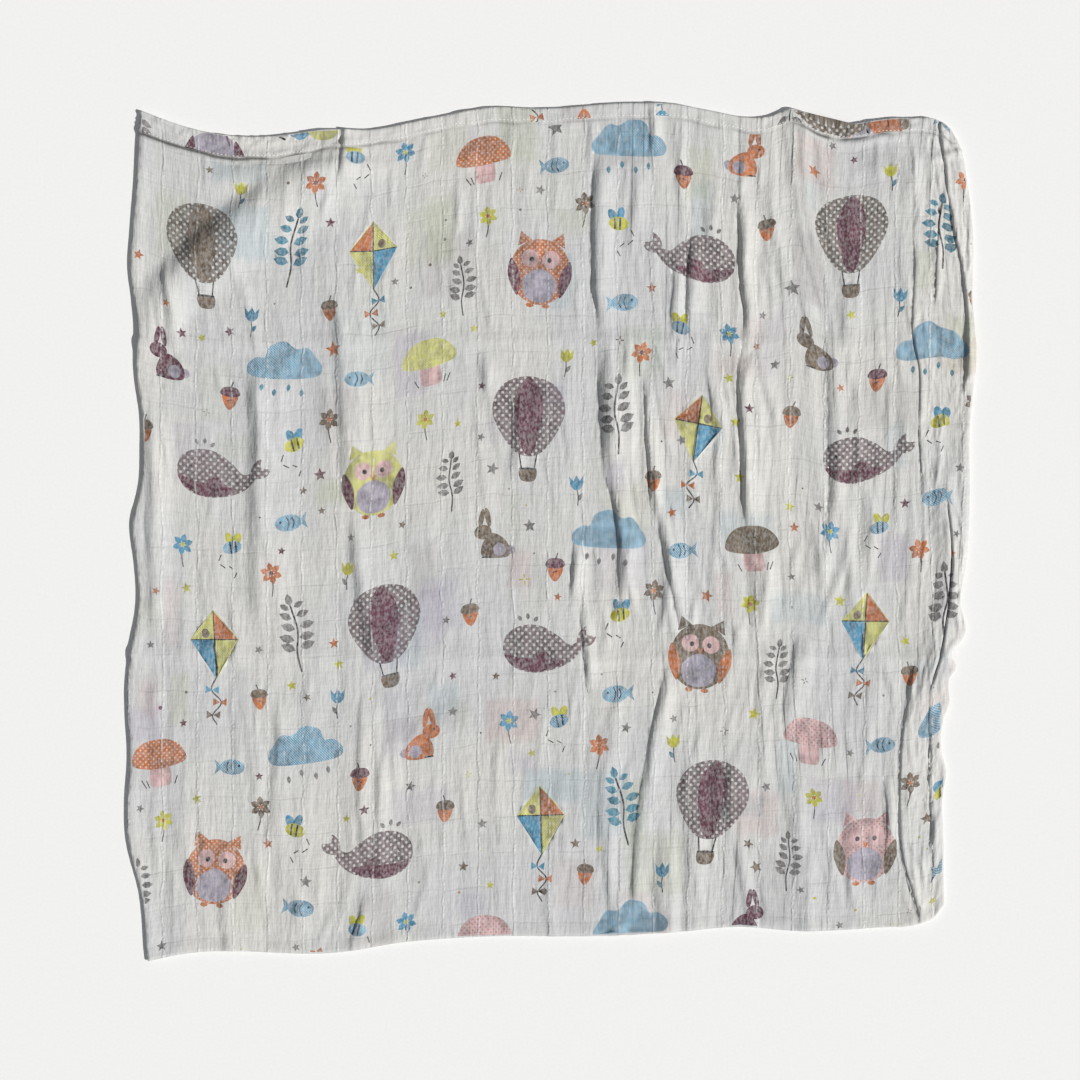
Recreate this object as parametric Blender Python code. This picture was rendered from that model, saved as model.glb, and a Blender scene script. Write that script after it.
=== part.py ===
"""Swaddle blanket of double cotton muslin, spread out face up on a flat surface.

One closed sheet. It touches the surface between its folds, where its underside is flat. The long creases,
the pleats that bunch up its right side and the creases across it are rows of the tables below. Places are
in millimetres from the middle of the cloth: +x to the right, +y away from the viewer, z up.
"""

import math
from collections import namedtuple

import bpy
import numpy as np

MM = 0.001  # metres in a millimetre

# Driving dimensions, in millimetres
THICKNESS = 1.5  # two layers of crinkled muslin
HEM_THICKNESS = 2.3  # four layers where the edge is turned in
TOP_HEM = 18.0  # width of the hem along the far edge
SIDE_HEM = 11.0  # width of the other three hems
NEAR_Y = -500.0  # about where the near edge lies
FAR_Y = 520.0  # about where the far edge lies
ROWS = 23  # even rows of faces between the near and the far edge
CREASE_ROWS = 9.0  # distance of the extra rows on both sides of a crease across the cloth
ROW_GAP = 8.0  # an even row closer than this to an extra row is left out
FADE = 24.0  # a fold rises from nothing at its ends over this length
FADE_SLOPE = 7.0  # and over this many times its own height more
FINE_STEPS = 900  # samples across the cloth, from which the columns are spaced
ROUNDS = 3  # rounds in which the x and the y of a flat place settle
JUST_UNDER = 1e-9  # how far below a whole number a share stays, to belong to the strip before
HEM_REACH = 1.05  # points up to this many hem widths from the edge are hem

CLOTH_COLOUR = (0.72, 0.71, 0.67, 1.0)
CLOTH_ROUGHNESS = 0.95
SHARP_EDGE_DEG = 60.0  # edges that turn by more than this are shaded sharp

# The four edges. Left and right: place y, then x. Far and near: place x, then y.
LEFT_EDGE = (
    (-532, -502), (-455, -509), (-384, -526), (-271, -524), (-188, -528), (-156, -525), (-81, -513),
    (-39, -516), (21, -520), (44, -514), (146, -509), (206, -516), (269, -514), (306, -521), (445, -516),
    (530, -511),
)
RIGHT_EDGE = (
    (-461, 492), (-388, 491), (-331, 490), (-290, 494), (-276, 490), (-232, 491), (-212, 498), (-179, 499),
    (-165, 508), (-152, 501), (-126, 518), (-82, 512), (-41, 519), (44, 524), (126, 524), (231, 532),
    (285, 528), (382, 528), (448, 520), (480, 514), (506, 501),
)
FAR_EDGE = (
    (-511, 530), (-469, 514), (-420, 501), (-360, 497), (-277, 506), (-221, 506), (-154, 519), (-64, 534),
    (-17, 532), (100, 539), (162, 537), (194, 531), (272, 522), (304, 532), (339, 516), (442, 520),
    (491, 514), (501, 506),
)
NEAR_EDGE = (
    (-502, -532), (-464, -524), (-256, -520), (-188, -509), (-100, -502), (80, -500), (162, -495),
    (239, -489), (305, -494), (408, -490), (464, -484), (482, -475), (492, -461),
)

# The long creases, which columns of the mesh follow: place y, then x.
CREASES = {
    "first": (
        (-512, -250), (-481, -238), (-331, -240), (-206, -236), (-144, -226), (-69, -240), (-6, -248),
        (106, -259), (244, -268), (319, -275), (506, -256),
    ),
    "second": (
        (-500, 75), (-456, 72), (-394, 65), (-331, 59), (-256, 71), (-194, 80), (-131, 90), (-69, 89),
        (6, 88), (69, 75), (131, 69), (219, 68), (294, 58), (481, 58),
    ),
    "third": (
        (-494, 245), (-394, 231), (-331, 223), (-206, 240), (-81, 254), (44, 244), (144, 241), (194, 237),
        (256, 244), (356, 239), (506, 238),
    ),
    "fourth": (
        (-488, 310), (-381, 304), (-306, 301), (-244, 295), (-144, 309), (-106, 318), (-56, 334), (6, 347),
        (81, 350), (169, 348), (231, 345), (294, 331), (356, 312), (444, 299), (506, 298),
    ),
    "inner pleat": (
        (-475, 459), (-450, 452), (-394, 438), (-306, 435), (-256, 438), (-212, 445), (-175, 451),
        (-81, 459), (19, 466), (81, 464), (131, 460), (206, 460), (238, 454), (338, 455), (506, 453),
    ),
    "outer pleat": (
        (-456, 479), (-381, 475), (-256, 470), (-194, 474), (-150, 486), (-94, 495), (-12, 500), (44, 495),
        (119, 497), (169, 512), (231, 520), (294, 517), (338, 511), (375, 503), (419, 496), (462, 491),
        (506, 485),
    ),
}

# Columns of faces between the left edge, each crease in turn and the right edge
COLUMNS = (16, 24, 19, 8, 12, 9, 8)

# Parts of a long crease that stand up as a fold. Place is the middle of its steep left side, moved by
# beside; left and right are the widths of its two sides; lean moves its crest sideways, so that a fold
# with more lean than side lies over its neighbour.
LongFold = namedtuple("LongFold", "crease near far beside height left right lean")
LONG_FOLDS = (
    LongFold("first", -560, -440, 0, 3.0, 8, 26, 0),
    LongFold("first", -425, -190, 0, 3.0, 9, 28, 0),
    LongFold("first", -185, 40, 0, 6.5, 15, 42, -2),
    LongFold("first", 20, 320, 0, 4.5, 17, 52, 0),
    LongFold("first", 420, 560, 0, 4.5, 9, 28, -1),
    LongFold("second", -560, -225, 0, 7.0, 13, 27, -2),
    LongFold("second", -290, -165, 0, 5.0, 15, 24, 0),
    LongFold("second", -110, 90, 0, 6.0, 12, 22, -1),
    LongFold("second", 45, 250, 0, 8.0, 18, 28, -3),
    LongFold("second", 240, 500, 0, 6.0, 13, 30, -1),
    LongFold("third", -560, -380, 3, 4.0, 9, 15, 0),
    LongFold("third", -130, 0, 0, 4.0, 18, 22, 0),
    LongFold("third", -10, 245, 0, 7.0, 12, 19, -2),
    LongFold("third", 225, 440, 0, 6.0, 11, 21, -1),
    LongFold("fourth", -560, -280, 0, 5.0, 13, 25, 0),
    LongFold("fourth", -270, -105, 0, 8.0, 13, 21, -3),
    LongFold("fourth", -10, 265, 0, 7.0, 10, 23, -2),
    LongFold("fourth", 420, 560, 0, 3.0, 16, 30, 0),
    LongFold("inner pleat", -560, -150, 0, 10.5, 13, 22, -17),
    LongFold("inner pleat", 30, 370, 0, 7.5, 11, 24, -9),
    LongFold("outer pleat", -185, 30, -23, 7.0, 26, 12, 3),
    LongFold("outer pleat", -200, 70, 5, 6.0, 11, 22, 0),
    LongFold("outer pleat", -560, -200, 6, 7.0, 9, 18, -2),
    LongFold("outer pleat", 170, 560, 0, 9.5, 13, 19, -15),
)

# Shorter folds: near and far end, x at the near end, halfway and at the far end
Fold = namedtuple("Fold", "near far x_near x_half x_far height left right")
FOLDS = (
    Fold(-131, 231, -368, -373, -368, 4.0, 20, 46),
    Fold(-131, 169, -497, -502, -500, 4.0, 14, 26),
    Fold(225, 310, -474, -478, -483, 3.0, 13, 22),
    Fold(-560, -415, -404, -410, -416, 5.0, 13, 26),
    Fold(-505, -425, -318, -321, -326, 4.0, 11, 19),
    Fold(-406, -190, -357, -345, -342, 3.0, 13, 26),
    Fold(-456, -275, -215, -218, -215, 3.0, 9, 26),
    Fold(50, 190, -54, -45, -47, 4.0, 13, 21),
    Fold(165, 240, -81, -85, -90, 3.5, 13, 21),
    Fold(-560, -405, -2, -4, -6, 4.0, 9, 17),
    Fold(-95, 10, 29, 29, 34, 4.5, 10, 18),
    Fold(-210, -75, 52, 43, 41, 3.5, 10, 14),
    Fold(355, 470, 100, 104, 102, 3.0, 14, 20),
    Fold(455, 560, 126, 125, 125, 3.5, 9, 15),
    Fold(10, 215, 132, 122, 120, 4.5, 9, 19),
    Fold(-140, 45, 169, 148, 131, 5.5, 10, 20),
    Fold(-480, -165, 101, 115, 148, 5.0, 11, 18),
    Fold(235, 365, 152, 154, 156, 3.5, 9, 13),
    Fold(245, 395, 171, 174, 180, 5.0, 11, 19),
    Fold(120, 210, 207, 203, 199, 4.0, 9, 16),
    Fold(-560, -315, 164, 169, 172, 3.5, 11, 18),
    Fold(-385, -280, 219, 222, 219, 3.0, 11, 20),
    Fold(-155, -90, 232, 229, 228, 4.0, 9, 15),
    Fold(-72, 28, 335, 332, 326, 4.0, 9, 15),
    Fold(-115, 0, 372, 372, 369, 4.0, 9, 17),
    Fold(-150, -90, 398, 394, 390, 4.0, 9, 13),
    Fold(-480, -325, 372, 371, 366, 4.0, 10, 20),
    Fold(220, 310, 366, 365, 364, 3.5, 16, 30),
    Fold(-215, -145, 428, 419, 409, 4.0, 9, 11),
    Fold(-410, -290, 420, 421, 418, 4.5, 8, 9),
    Fold(395, 485, 440, 443, 444, 3.0, 13, 15),
)

# Folds across the cloth: left and right end, y at the left end, halfway and at the right end. A crease
# that was pressed in while the cloth lay folded has rows of the mesh of its own.
AcrossFold = namedtuple("AcrossFold", "left right y_left y_half y_right height far_side near_side pressed")
ACROSS_FOLDS = (
    AcrossFold(-560, 560, 240, 244, 238, 1.6, 12, 16, True),
    AcrossFold(-560, 560, -146, -152, -150, 1.6, 12, 16, True),
    AcrossFold(-180, 60, -386, -384, -386, 1.0, 10, 12, False),
    AcrossFold(-490, -245, 300, 415, 478, 5.0, 34, 75, False),
)


def smooth_curve(rows, place):
    """The value at each place on a smooth curve through the rows of (place, value)."""
    places, values = np.array(rows, float).T
    slopes = np.gradient(values, places)
    place = np.clip(place, places[0], places[-1])
    i = np.clip(np.searchsorted(places, place, side="right") - 1, 0, len(places) - 2)
    step = places[i + 1] - places[i]
    f = (place - places[i]) / step
    rise = 3 * f**2 - 2 * f**3
    start = values[i] + (values[i + 1] - values[i]) * rise
    return start + step * (slopes[i] * (f - 2 * f**2 + f**3) + slopes[i + 1] * (f**3 - f**2))


def through_three(near, half, far, share):
    """A parabola from near, through half, to far, at a share of the way."""
    return near + share * (4 * half - 3 * near - far) + share**2 * 2 * (near + far - 2 * half)


def bump(distance, before, after):
    """1 at distance 0, falling smoothly to 0 at -before and at +after."""
    side = np.where(distance < 0, before, after)
    return (1 - np.clip(distance / side, -1, 1) ** 2) ** 2


def between(place, start, end, height):
    """1 between start and end, falling smoothly to 0 at both, more slowly for a tall fold."""
    fade = FADE + FADE_SLOPE * height
    inside = np.clip(np.minimum(place - start, end - place) / fade, 0, 1)
    return inside**2 * (3 - 2 * inside)


def spread_lines(y):
    """x of the left edge, of each crease in turn and of the right edge, where the cloth has the given y."""
    inner = [smooth_curve(rows, y) for rows in CREASES.values()]
    return [smooth_curve(LEFT_EDGE, y), *inner, smooth_curve(RIGHT_EDGE, y)]


def flat_places(share, row):
    """x and y before any fold rises: share runs from 0 to 1 in each strip between two creases."""
    strip = np.clip(share.astype(int), 0, len(COLUMNS) - 1)
    part = share - strip
    y = NEAR_Y + (FAR_Y - NEAR_Y) * row
    for _ in range(ROUNDS):
        lines = np.stack(spread_lines(y))
        start = np.take_along_axis(lines, strip[None], 0)[0]
        end = np.take_along_axis(lines, strip[None] + 1, 0)[0]
        x = start + (end - start) * part
        near = smooth_curve(NEAR_EDGE, x)
        y = near + (smooth_curve(FAR_EDGE, x) - near) * row
    return x, y


def folded(x, y):
    """The sideways shift and the height that all folds give the cloth at the flat place x, y."""
    shift = np.zeros_like(x)
    height = np.zeros_like(x)
    for fold in LONG_FOLDS:
        crest = smooth_curve(CREASES[fold.crease], y) + fold.beside + fold.left / 2
        rise = bump(x - crest, fold.left, fold.right) * between(y, fold.near, fold.far, fold.height)
        shift += fold.lean * rise
        height += fold.height * rise
    for fold in FOLDS:
        way = np.clip((y - fold.near) / (fold.far - fold.near), 0, 1)
        crest = through_three(fold.x_near, fold.x_half, fold.x_far, way) + fold.left / 2
        rise = bump(x - crest, fold.left, fold.right) * between(y, fold.near, fold.far, fold.height)
        height += fold.height * rise
    for fold in ACROSS_FOLDS:
        way = np.clip((x - fold.left) / (fold.right - fold.left), 0, 1)
        crest = through_three(fold.y_left, fold.y_half, fold.y_right, way)
        rise = bump(y - crest, fold.near_side, fold.far_side)
        height += fold.height * rise * between(x, fold.left, fold.right, fold.height)
    return shift, height


def column_shares(row):
    """Where the columns cross a row: evenly along the folded cloth between one crease and the next."""
    shares = []
    for strip, count in enumerate(COLUMNS):
        fine = np.linspace(strip, strip + 1, FINE_STEPS // len(COLUMNS))
        fine[-1] -= JUST_UNDER
        x, y = flat_places(fine, np.full_like(fine, row))
        shift, height = folded(x, y)
        along = np.concatenate([[0], np.cumsum(np.hypot(np.diff(x + shift), np.diff(height)))])
        shares.extend(np.interp(np.linspace(0, along[-1], count + 1)[:-1], along, fine))
    shares.append(len(COLUMNS) - JUST_UNDER)
    return np.array(shares)


def row_places():
    """Rows from the near to the far edge, as shares of the length, with more at hems and creases."""
    length = FAR_Y - NEAR_Y
    rows = list(np.linspace(0, length, ROWS + 1))
    extra = [SIDE_HEM, length - TOP_HEM]
    for fold in ACROSS_FOLDS:
        if fold.pressed:
            middle = fold.y_half - NEAR_Y
            extra += [middle - CREASE_ROWS, middle, middle + CREASE_ROWS]
    rows = [r for r in rows if min(abs(r - e) for e in extra) > ROW_GAP]
    return np.array(sorted(rows + extra)) / length


def sheet_thickness(x, y):
    """Thicker where the hem is turned in along each edge."""
    from_edge = np.minimum(x - smooth_curve(LEFT_EDGE, y), smooth_curve(RIGHT_EDGE, y) - x) / SIDE_HEM
    from_edge = np.minimum(from_edge, (y - smooth_curve(NEAR_EDGE, x)) / SIDE_HEM)
    from_edge = np.minimum(from_edge, (smooth_curve(FAR_EDGE, x) - y) / TOP_HEM)
    return np.where(from_edge < HEM_REACH, HEM_THICKNESS, THICKNESS)


def middle_surface():
    """Grid of points halfway through the sheet, and the thickness at each."""
    rows = row_places()
    shares = np.array([column_shares(row) for row in rows])
    x, y = flat_places(shares, np.repeat(rows[:, None], shares.shape[1], axis=1))
    shift, height = folded(x, y)
    thickness = sheet_thickness(x, y)
    return np.stack([x + shift, y, height + thickness / 2], axis=-1), thickness


def grid_normals(points):
    """Unit normals of a grid of points, facing up."""
    across = np.gradient(points, axis=1)
    along = np.gradient(points, axis=0)
    normals = np.cross(across, along)
    return normals / np.linalg.norm(normals, axis=-1, keepdims=True)


def sheet_faces(rows, columns):
    """Quads of the upper side, the underside and the rim between them."""
    upper = np.arange(rows * columns).reshape(rows, columns)
    lower = upper + rows * columns
    faces = []
    for r in range(rows - 1):
        for c in range(columns - 1):
            faces.append((upper[r, c], upper[r, c + 1], upper[r + 1, c + 1], upper[r + 1, c]))
            faces.append((lower[r, c], lower[r + 1, c], lower[r + 1, c + 1], lower[r, c + 1]))
    rim = [(0, c) for c in range(columns - 1)] + [(r, columns - 1) for r in range(rows - 1)]
    rim += [(rows - 1, c) for c in range(columns - 1, 0, -1)] + [(r, 0) for r in range(rows - 1, 0, -1)]
    for here, after in zip(rim, rim[1:] + rim[:1]):
        faces.append((upper[after], upper[here], lower[here], lower[after]))
    return [tuple(int(v) for v in face) for face in faces]


def cloth_material():
    material = bpy.data.materials.new("cotton_muslin")
    material.use_nodes = True
    shader = material.node_tree.nodes["Principled BSDF"]
    shader.inputs["Base Color"].default_value = CLOTH_COLOUR
    shader.inputs["Roughness"].default_value = CLOTH_ROUGHNESS
    shader.inputs["Metallic"].default_value = 0.0
    return material


def make_cloth():
    """The whole blanket as one closed sheet, centred on the origin and resting on z = 0."""
    middle, thickness = middle_surface()
    half = grid_normals(middle) * thickness[..., None] / 2
    points = np.concatenate([(middle + half).reshape(-1, 3), (middle - half).reshape(-1, 3)])
    low, high = points.min(axis=0), points.max(axis=0)
    points -= [(low[0] + high[0]) / 2, (low[1] + high[1]) / 2, low[2]]
    mesh = bpy.data.meshes.new("muslin_cloth")
    mesh.from_pydata((points * MM).tolist(), [], sheet_faces(*thickness.shape))
    mesh.shade_smooth()
    mesh.set_sharp_from_angle(angle=math.radians(SHARP_EDGE_DEG))
    cloth = bpy.data.objects.new("muslin_cloth", mesh)
    bpy.context.scene.collection.objects.link(cloth)
    mesh.materials.append(cloth_material())


def main():
    for thing in list(bpy.data.objects):
        bpy.data.objects.remove(thing, do_unlink=True)
    make_cloth()


main()
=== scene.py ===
"""Swaddle blanket of double cotton muslin, spread out face up, with a scattered nursery print.

The cloth is cut out flat, with the outlines of its print in the mesh, and is then laid on the folds of
the model's solid. Tables and shapes are in millimetres: x to the right, y away from the viewer, z up.
On the flat cloth, u runs across and v along it, from the near edge to the far one.
"""

import functools
import math
from collections import namedtuple
import bpy
import numpy as np
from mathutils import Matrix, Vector, geometry


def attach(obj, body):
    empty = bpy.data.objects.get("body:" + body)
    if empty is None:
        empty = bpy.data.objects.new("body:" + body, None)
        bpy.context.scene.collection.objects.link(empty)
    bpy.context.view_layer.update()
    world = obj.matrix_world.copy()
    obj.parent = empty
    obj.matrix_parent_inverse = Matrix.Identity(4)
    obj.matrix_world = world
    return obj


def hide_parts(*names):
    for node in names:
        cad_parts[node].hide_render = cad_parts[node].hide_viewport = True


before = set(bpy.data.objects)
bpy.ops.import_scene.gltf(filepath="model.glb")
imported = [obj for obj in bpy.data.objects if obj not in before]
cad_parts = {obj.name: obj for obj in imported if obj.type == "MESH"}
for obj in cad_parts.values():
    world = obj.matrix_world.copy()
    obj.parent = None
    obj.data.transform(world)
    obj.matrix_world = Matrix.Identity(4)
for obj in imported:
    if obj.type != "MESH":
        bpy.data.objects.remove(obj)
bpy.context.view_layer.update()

bl_info = {
    "name": "Muslin Swaddle Blanket",
    "version": (1, 0, 0),
    "blender": (4, 5, 0),
    "location": "View3D > Sidebar > Swaddle",
    "description": "Makes a printed muslin swaddle blanket, its stitches and a stage for it",
    "category": "Add Mesh",
}

MM = 0.001  # metres in a millimetre
NODE = "muslin_cloth"

# ---------------------------------------------------------------- shape of the laid cloth

NEAR_Y = -500.0  # about where the near edge lies
FAR_Y = 520.0  # about where the far edge lies
MIDDLE = (0.2, 3.55)  # where the model has its origin
FADE = 24.0  # a fold rises from nothing at its ends over this length
FADE_SLOPE = 7.0  # and over this many times its own height more
SLOT_FADE = 16.0  # a slot, a fold of height below 0, gets its depth over this length
ROUNDS = 3  # rounds in which the x and the y of a flat place settle
JUST_UNDER = 1e-9  # how far below a whole number a share stays, to belong to the strip before

# The four edges. Left and right: place y, then x. Far and near: place x, then y.
LEFT_EDGE = (
    (-532, -502), (-455, -509), (-384, -526), (-271, -524), (-188, -528), (-156, -525), (-81, -513),
    (-39, -516), (21, -520), (44, -514), (146, -509), (206, -516), (269, -514), (306, -521), (445, -516),
    (530, -511),
)
RIGHT_EDGE = (
    (-461, 492), (-388, 491), (-331, 490), (-290, 494), (-276, 490), (-232, 491), (-212, 498), (-179, 499),
    (-165, 508), (-152, 501), (-126, 518), (-82, 512), (-41, 519), (44, 524), (126, 524), (231, 532),
    (285, 528), (382, 528), (448, 520), (480, 514), (506, 501),
)
FAR_EDGE = (
    (-511, 530), (-469, 514), (-420, 501), (-360, 497), (-277, 506), (-221, 506), (-154, 519), (-64, 534),
    (-17, 532), (100, 539), (162, 537), (194, 531), (272, 522), (304, 532), (339, 516), (442, 520),
    (491, 514), (501, 506),
)
NEAR_EDGE = (
    (-502, -532), (-464, -524), (-256, -520), (-188, -509), (-100, -502), (80, -500), (162, -495),
    (239, -489), (305, -494), (408, -490), (464, -484), (482, -475), (492, -461),
)

# The long creases: place y, then x. The strips of cloth between them are counted from the left.
CREASES = {
    "first": (
        (-512, -250), (-481, -238), (-331, -240), (-206, -236), (-144, -226), (-69, -240), (-6, -248),
        (106, -259), (244, -268), (319, -275), (506, -256),
    ),
    "second": (
        (-500, 75), (-456, 72), (-394, 65), (-331, 59), (-256, 71), (-194, 80), (-131, 90), (-69, 89),
        (6, 88), (69, 75), (131, 69), (219, 68), (294, 58), (481, 58),
    ),
    "third": (
        (-494, 245), (-394, 231), (-331, 223), (-206, 240), (-81, 254), (44, 244), (144, 241), (194, 237),
        (256, 244), (356, 239), (506, 238),
    ),
    "fourth": (
        (-488, 310), (-381, 304), (-306, 301), (-244, 295), (-144, 309), (-106, 318), (-56, 334), (6, 347),
        (81, 350), (169, 348), (231, 345), (294, 331), (356, 312), (444, 299), (506, 298),
    ),
    "inner pleat": (
        (-475, 459), (-450, 452), (-394, 438), (-306, 435), (-256, 438), (-212, 445), (-175, 451),
        (-81, 459), (19, 466), (81, 464), (131, 460), (206, 460), (238, 454), (338, 455), (506, 453),
    ),
    "outer pleat": (
        (-456, 479), (-381, 475), (-256, 470), (-194, 474), (-150, 486), (-94, 495), (-12, 500), (44, 495),
        (119, 497), (169, 512), (231, 520), (294, 517), (338, 511), (375, 503), (419, 496), (462, 491),
        (506, 485),
    ),
}

# Parts of a long crease that stand up as a fold. Place is the middle of its steep left side, moved by
# beside; left and right are the widths of its two sides; lean moves its crest sideways.
LongFold = namedtuple("LongFold", "crease near far beside height left right lean")
LONG_FOLD_ROWS = {
    "first": (
        (-560, -440, 0, 3.0, 8, 26, 0),
        (-425, -190, 0, 3.0, 9, 28, 0),
        (-185, 40, 0, 5.5, 17, 42, -1),
        (20, 320, 0, 5.2, 17, 52, 0),
        (420, 560, 0, 4.5, 9, 28, -1),
    ),
    "second": (
        (-560, -165, 3, 3.2, 13, 24, -1),
        (-110, 90, 0, 6.0, 12, 22, -1),
        (45, 250, 0, 8.0, 18, 28, -3),
        (240, 500, 0, 6.0, 13, 30, -1),
    ),
    "third": (
        (-560, -380, 3, 2.4, 9, 17, 0),
        (-130, 0, 0, 3.4, 18, 22, 0),
        (-10, 245, 0, 5.4, 12, 22, -2),
        (225, 440, 0, 6.0, 11, 21, -1),
    ),
    "fourth": (
        (-560, -280, 2, 3.1, 18, 27, 0),
        (-270, -105, 0, 4.2, 14, 24, -2),
        (-10, 265, 3, 3.6, 13, 26, -1),
        (420, 560, 0, 3.0, 16, 30, 0),
    ),
    "inner pleat": (
        (-560, -150, 2, 2.0, 2.6, 28, 0),
        (-450, -330, -1, -3.0, 2.0, 2.4, 0),
        (75, 370, 1, 2.2, 4, 22, 0),
        (100, 250, -1, -3.0, 2.0, 2.4, 0),
    ),
    "outer pleat": (
        (-250, 110, -14, 3.6, 30, 34, 0),
        (-200, 60, 1, 1.6, 2.6, 17, 0),
        (-190, 45, 0, -5.5, 2.0, 2.4, 0),
        (-420, -200, 3, 2.6, 5, 17, 0),
        (170, 560, 2, 3.2, 3.6, 16, 0),
        (330, 480, -1, -3.0, 2.4, 3.0, 0),
    ),
}
LONG_FOLDS = [LongFold(crease, *row) for crease, rows in LONG_FOLD_ROWS.items() for row in rows]

# Shorter folds: near and far end, x at the near end, halfway and at the far end
Fold = namedtuple("Fold", "near far x_near x_half x_far height left right")
FOLDS = [Fold(*row) for row in (
    (-131, 231, -368, -373, -368, 5.0, 20, 46),
    (-131, 169, -497, -502, -500, 4.0, 14, 26),
    (215, 345, -474, -478, -480, 4.0, 14, 26),
    (-560, -415, -404, -410, -416, 2.9, 13, 28),
    (-505, -425, -318, -321, -326, 2.2, 11, 21),
    (-406, -190, -357, -345, -342, 2.4, 13, 28),
    (-456, -275, -215, -218, -215, 2.2, 9, 28),
    (50, 190, -54, -45, -47, 4.0, 13, 21),
    (165, 240, -81, -85, -90, 3.5, 13, 21),
    (-560, -405, -2, -4, -6, 2.3, 9, 19),
    (-95, 10, 29, 29, 34, 4.5, 10, 18),
    (-210, -75, 52, 43, 41, 3.5, 10, 14),
    (355, 470, 100, 104, 102, 3.0, 14, 20),
    (455, 560, 126, 125, 125, 3.5, 9, 15),
    (10, 215, 132, 122, 120, 4.5, 9, 19),
    (-140, 45, 169, 148, 131, 5.5, 10, 20),
    (-480, -165, 101, 115, 148, 3.4, 11, 20),
    (-560, -365, 134, 136, 134, 3.8, 30, 14),
    (235, 365, 152, 154, 156, 3.5, 9, 13),
    (245, 395, 171, 174, 180, 5.0, 11, 19),
    (120, 210, 207, 203, 199, 4.0, 9, 16),
    (-560, -315, 164, 169, 172, 2.2, 11, 20),
    (-385, -280, 219, 222, 219, 2.0, 11, 22),
    (-155, -90, 232, 229, 228, 4.0, 9, 15),
    (-72, 28, 335, 332, 326, 2.6, 9, 18),
    (-115, 0, 372, 372, 369, 2.6, 9, 20),
    (-150, -90, 398, 394, 390, 2.8, 9, 16),
    (-480, -325, 372, 371, 366, 2.4, 10, 22),
    (220, 310, 366, 365, 364, 2.6, 16, 30),
    (-215, -145, 428, 419, 409, 2.6, 9, 14),
    (-410, -290, 420, 421, 418, 2.8, 8, 12),
    (395, 485, 440, 443, 444, 3.0, 13, 15),
    (280, 420, 481, 484, 488, 1.8, 2.6, 12),
    (-338, -238, 467, 469, 471, -4.5, 4, 5),
    (-92, -58, 506, 507, 507, -3.0, 3, 3),
)]

# Folds across the cloth: left and right end, y at the left end, halfway and at the right end
AcrossFold = namedtuple("AcrossFold", "left right y_left y_half y_right height far_side near_side")
ACROSS_FOLDS = [AcrossFold(*row) for row in (
    (-560, 560, 240, 244, 238, 2.0, 9, 15),
    (-560, 560, -146, -152, -150, 2.0, 9, 15),
    (-180, 60, -386, -384, -386, 1.2, 9, 12),
    (-545, -200, 240, 402, 474, 11.5, 40, 80),
    (-440, -180, 448, 458, 464, 4.0, 12, 26),
    (455, 545, 468, 476, 488, 4.0, 5, 10),
)]

# Small crinkles that run along the cloth. They fill an area given by strips and by v. count is how many,
# length, height and side are middling sizes, and drift is how far one strays from the creases beside it.
Crinkles = namedtuple("Crinkles", "from_strip to_strip near far count length height side drift seed")
CRINKLES = [Crinkles(*row) for row in (
    (0.05, 1.95, 244, 515, 80, 90, 1.0, 8, 4, 11),
    (0.05, 1.95, -152, 244, 90, 110, 0.9, 10, 5, 12),
    (0.05, 1.95, -495, -152, 90, 100, 0.9, 9, 5, 13),
    (1.98, 5.00, 244, 515, 80, 110, 1.1, 8, 5, 21),
    (1.98, 3.00, -152, 244, 70, 120, 1.2, 8, 7, 22),
    (3.00, 5.00, -152, 244, 80, 110, 1.0, 9, 6, 24),
    (1.98, 5.00, -495, -152, 100, 110, 0.8, 9, 7, 23),
    (5.00, 6.95, -495, 515, 150, 60, 1.0, 4, 6, 31),
)]

ALL_FOLDS = (*LONG_FOLDS, *FOLDS)
GENTLE_HEIGHT = 3.3  # folds below this have rounded feet,
SHARP_WIDTH = 8  # unless their left side is no wider than this
ROUND_WIDTH_LEFT = 12  # folds whose left side is wider than this are round in the left half of the cloth,
ROUND_WIDTH = 24  # and than this everywhere
FOOT_SHARPNESS = 2.0  # 1 is a straight steep side, more makes it rise ever faster towards its foot
SLOW_BULGE = 1.1  # how full the slow side of a fold is
STEEP_SHARE = 0.8  # width of a narrow fold's steep side, as a share of its width on the solid
STEEP_GAIN = 0.4  # added to that share for a wide fold
STEEP_WIDTHS = (9, 16)  # between these widths a narrow fold turns into a wide one
SHARP_PLACE, ROUND_PLACE = 0.38, 0.5  # where a fold's stated place lies on its steep side
CREST_LEAN = 0.15  # how far a crest lies to the right, for each millimetre of its height
CREST_WANDER = 1.5  # how far a crest strays from its smooth line
CREST_WAVES = ((1.0, 31, 91), (0.5, 11, 92))  # share, length and seed of each wave of that straying
GROOVE_DEPTH = 0.6  # of the line pressed into the cloth along the foot of a sharp fold
GROOVE_SIDES = (2.8, 2.4)  # its width to the left and to the right
GROOVE_HEIGHT = 6  # folds at least this high have the whole depth
EVENING = 170.0  # the cloth that folds take up is evened out over this length, so threads stay straight
ARC_ROWS = 240  # rows in the table of lengths along the cloth
ARC_SAMPLES = 1400  # samples along each
LEAST_STEP = 0.02  # from one sample to the next at least this much cloth passes
FLAT_REACH = 600  # the flat cloth lies well within this of its middle
FACE_STEP = (3.2, 6.6)  # spacing of the printed face's points, across and along
STRIP_STEP = (2.0, 4.6)  # in the crumpled strips at the right
BACK_STEP = (4.0, 26.0)  # and of the underside's
SQUEEZE = 0.45  # how much the flat cloth is squeezed along its length while it is cut into triangles
OUTLINE_CLEARANCE = 1.3  # lattice points this near to a printed outline are left out
HEM_BAND = 34  # width of the band at the far edge that has closer rows of points
HEM_STEP = 1.8  # their spacing along the cloth
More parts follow.
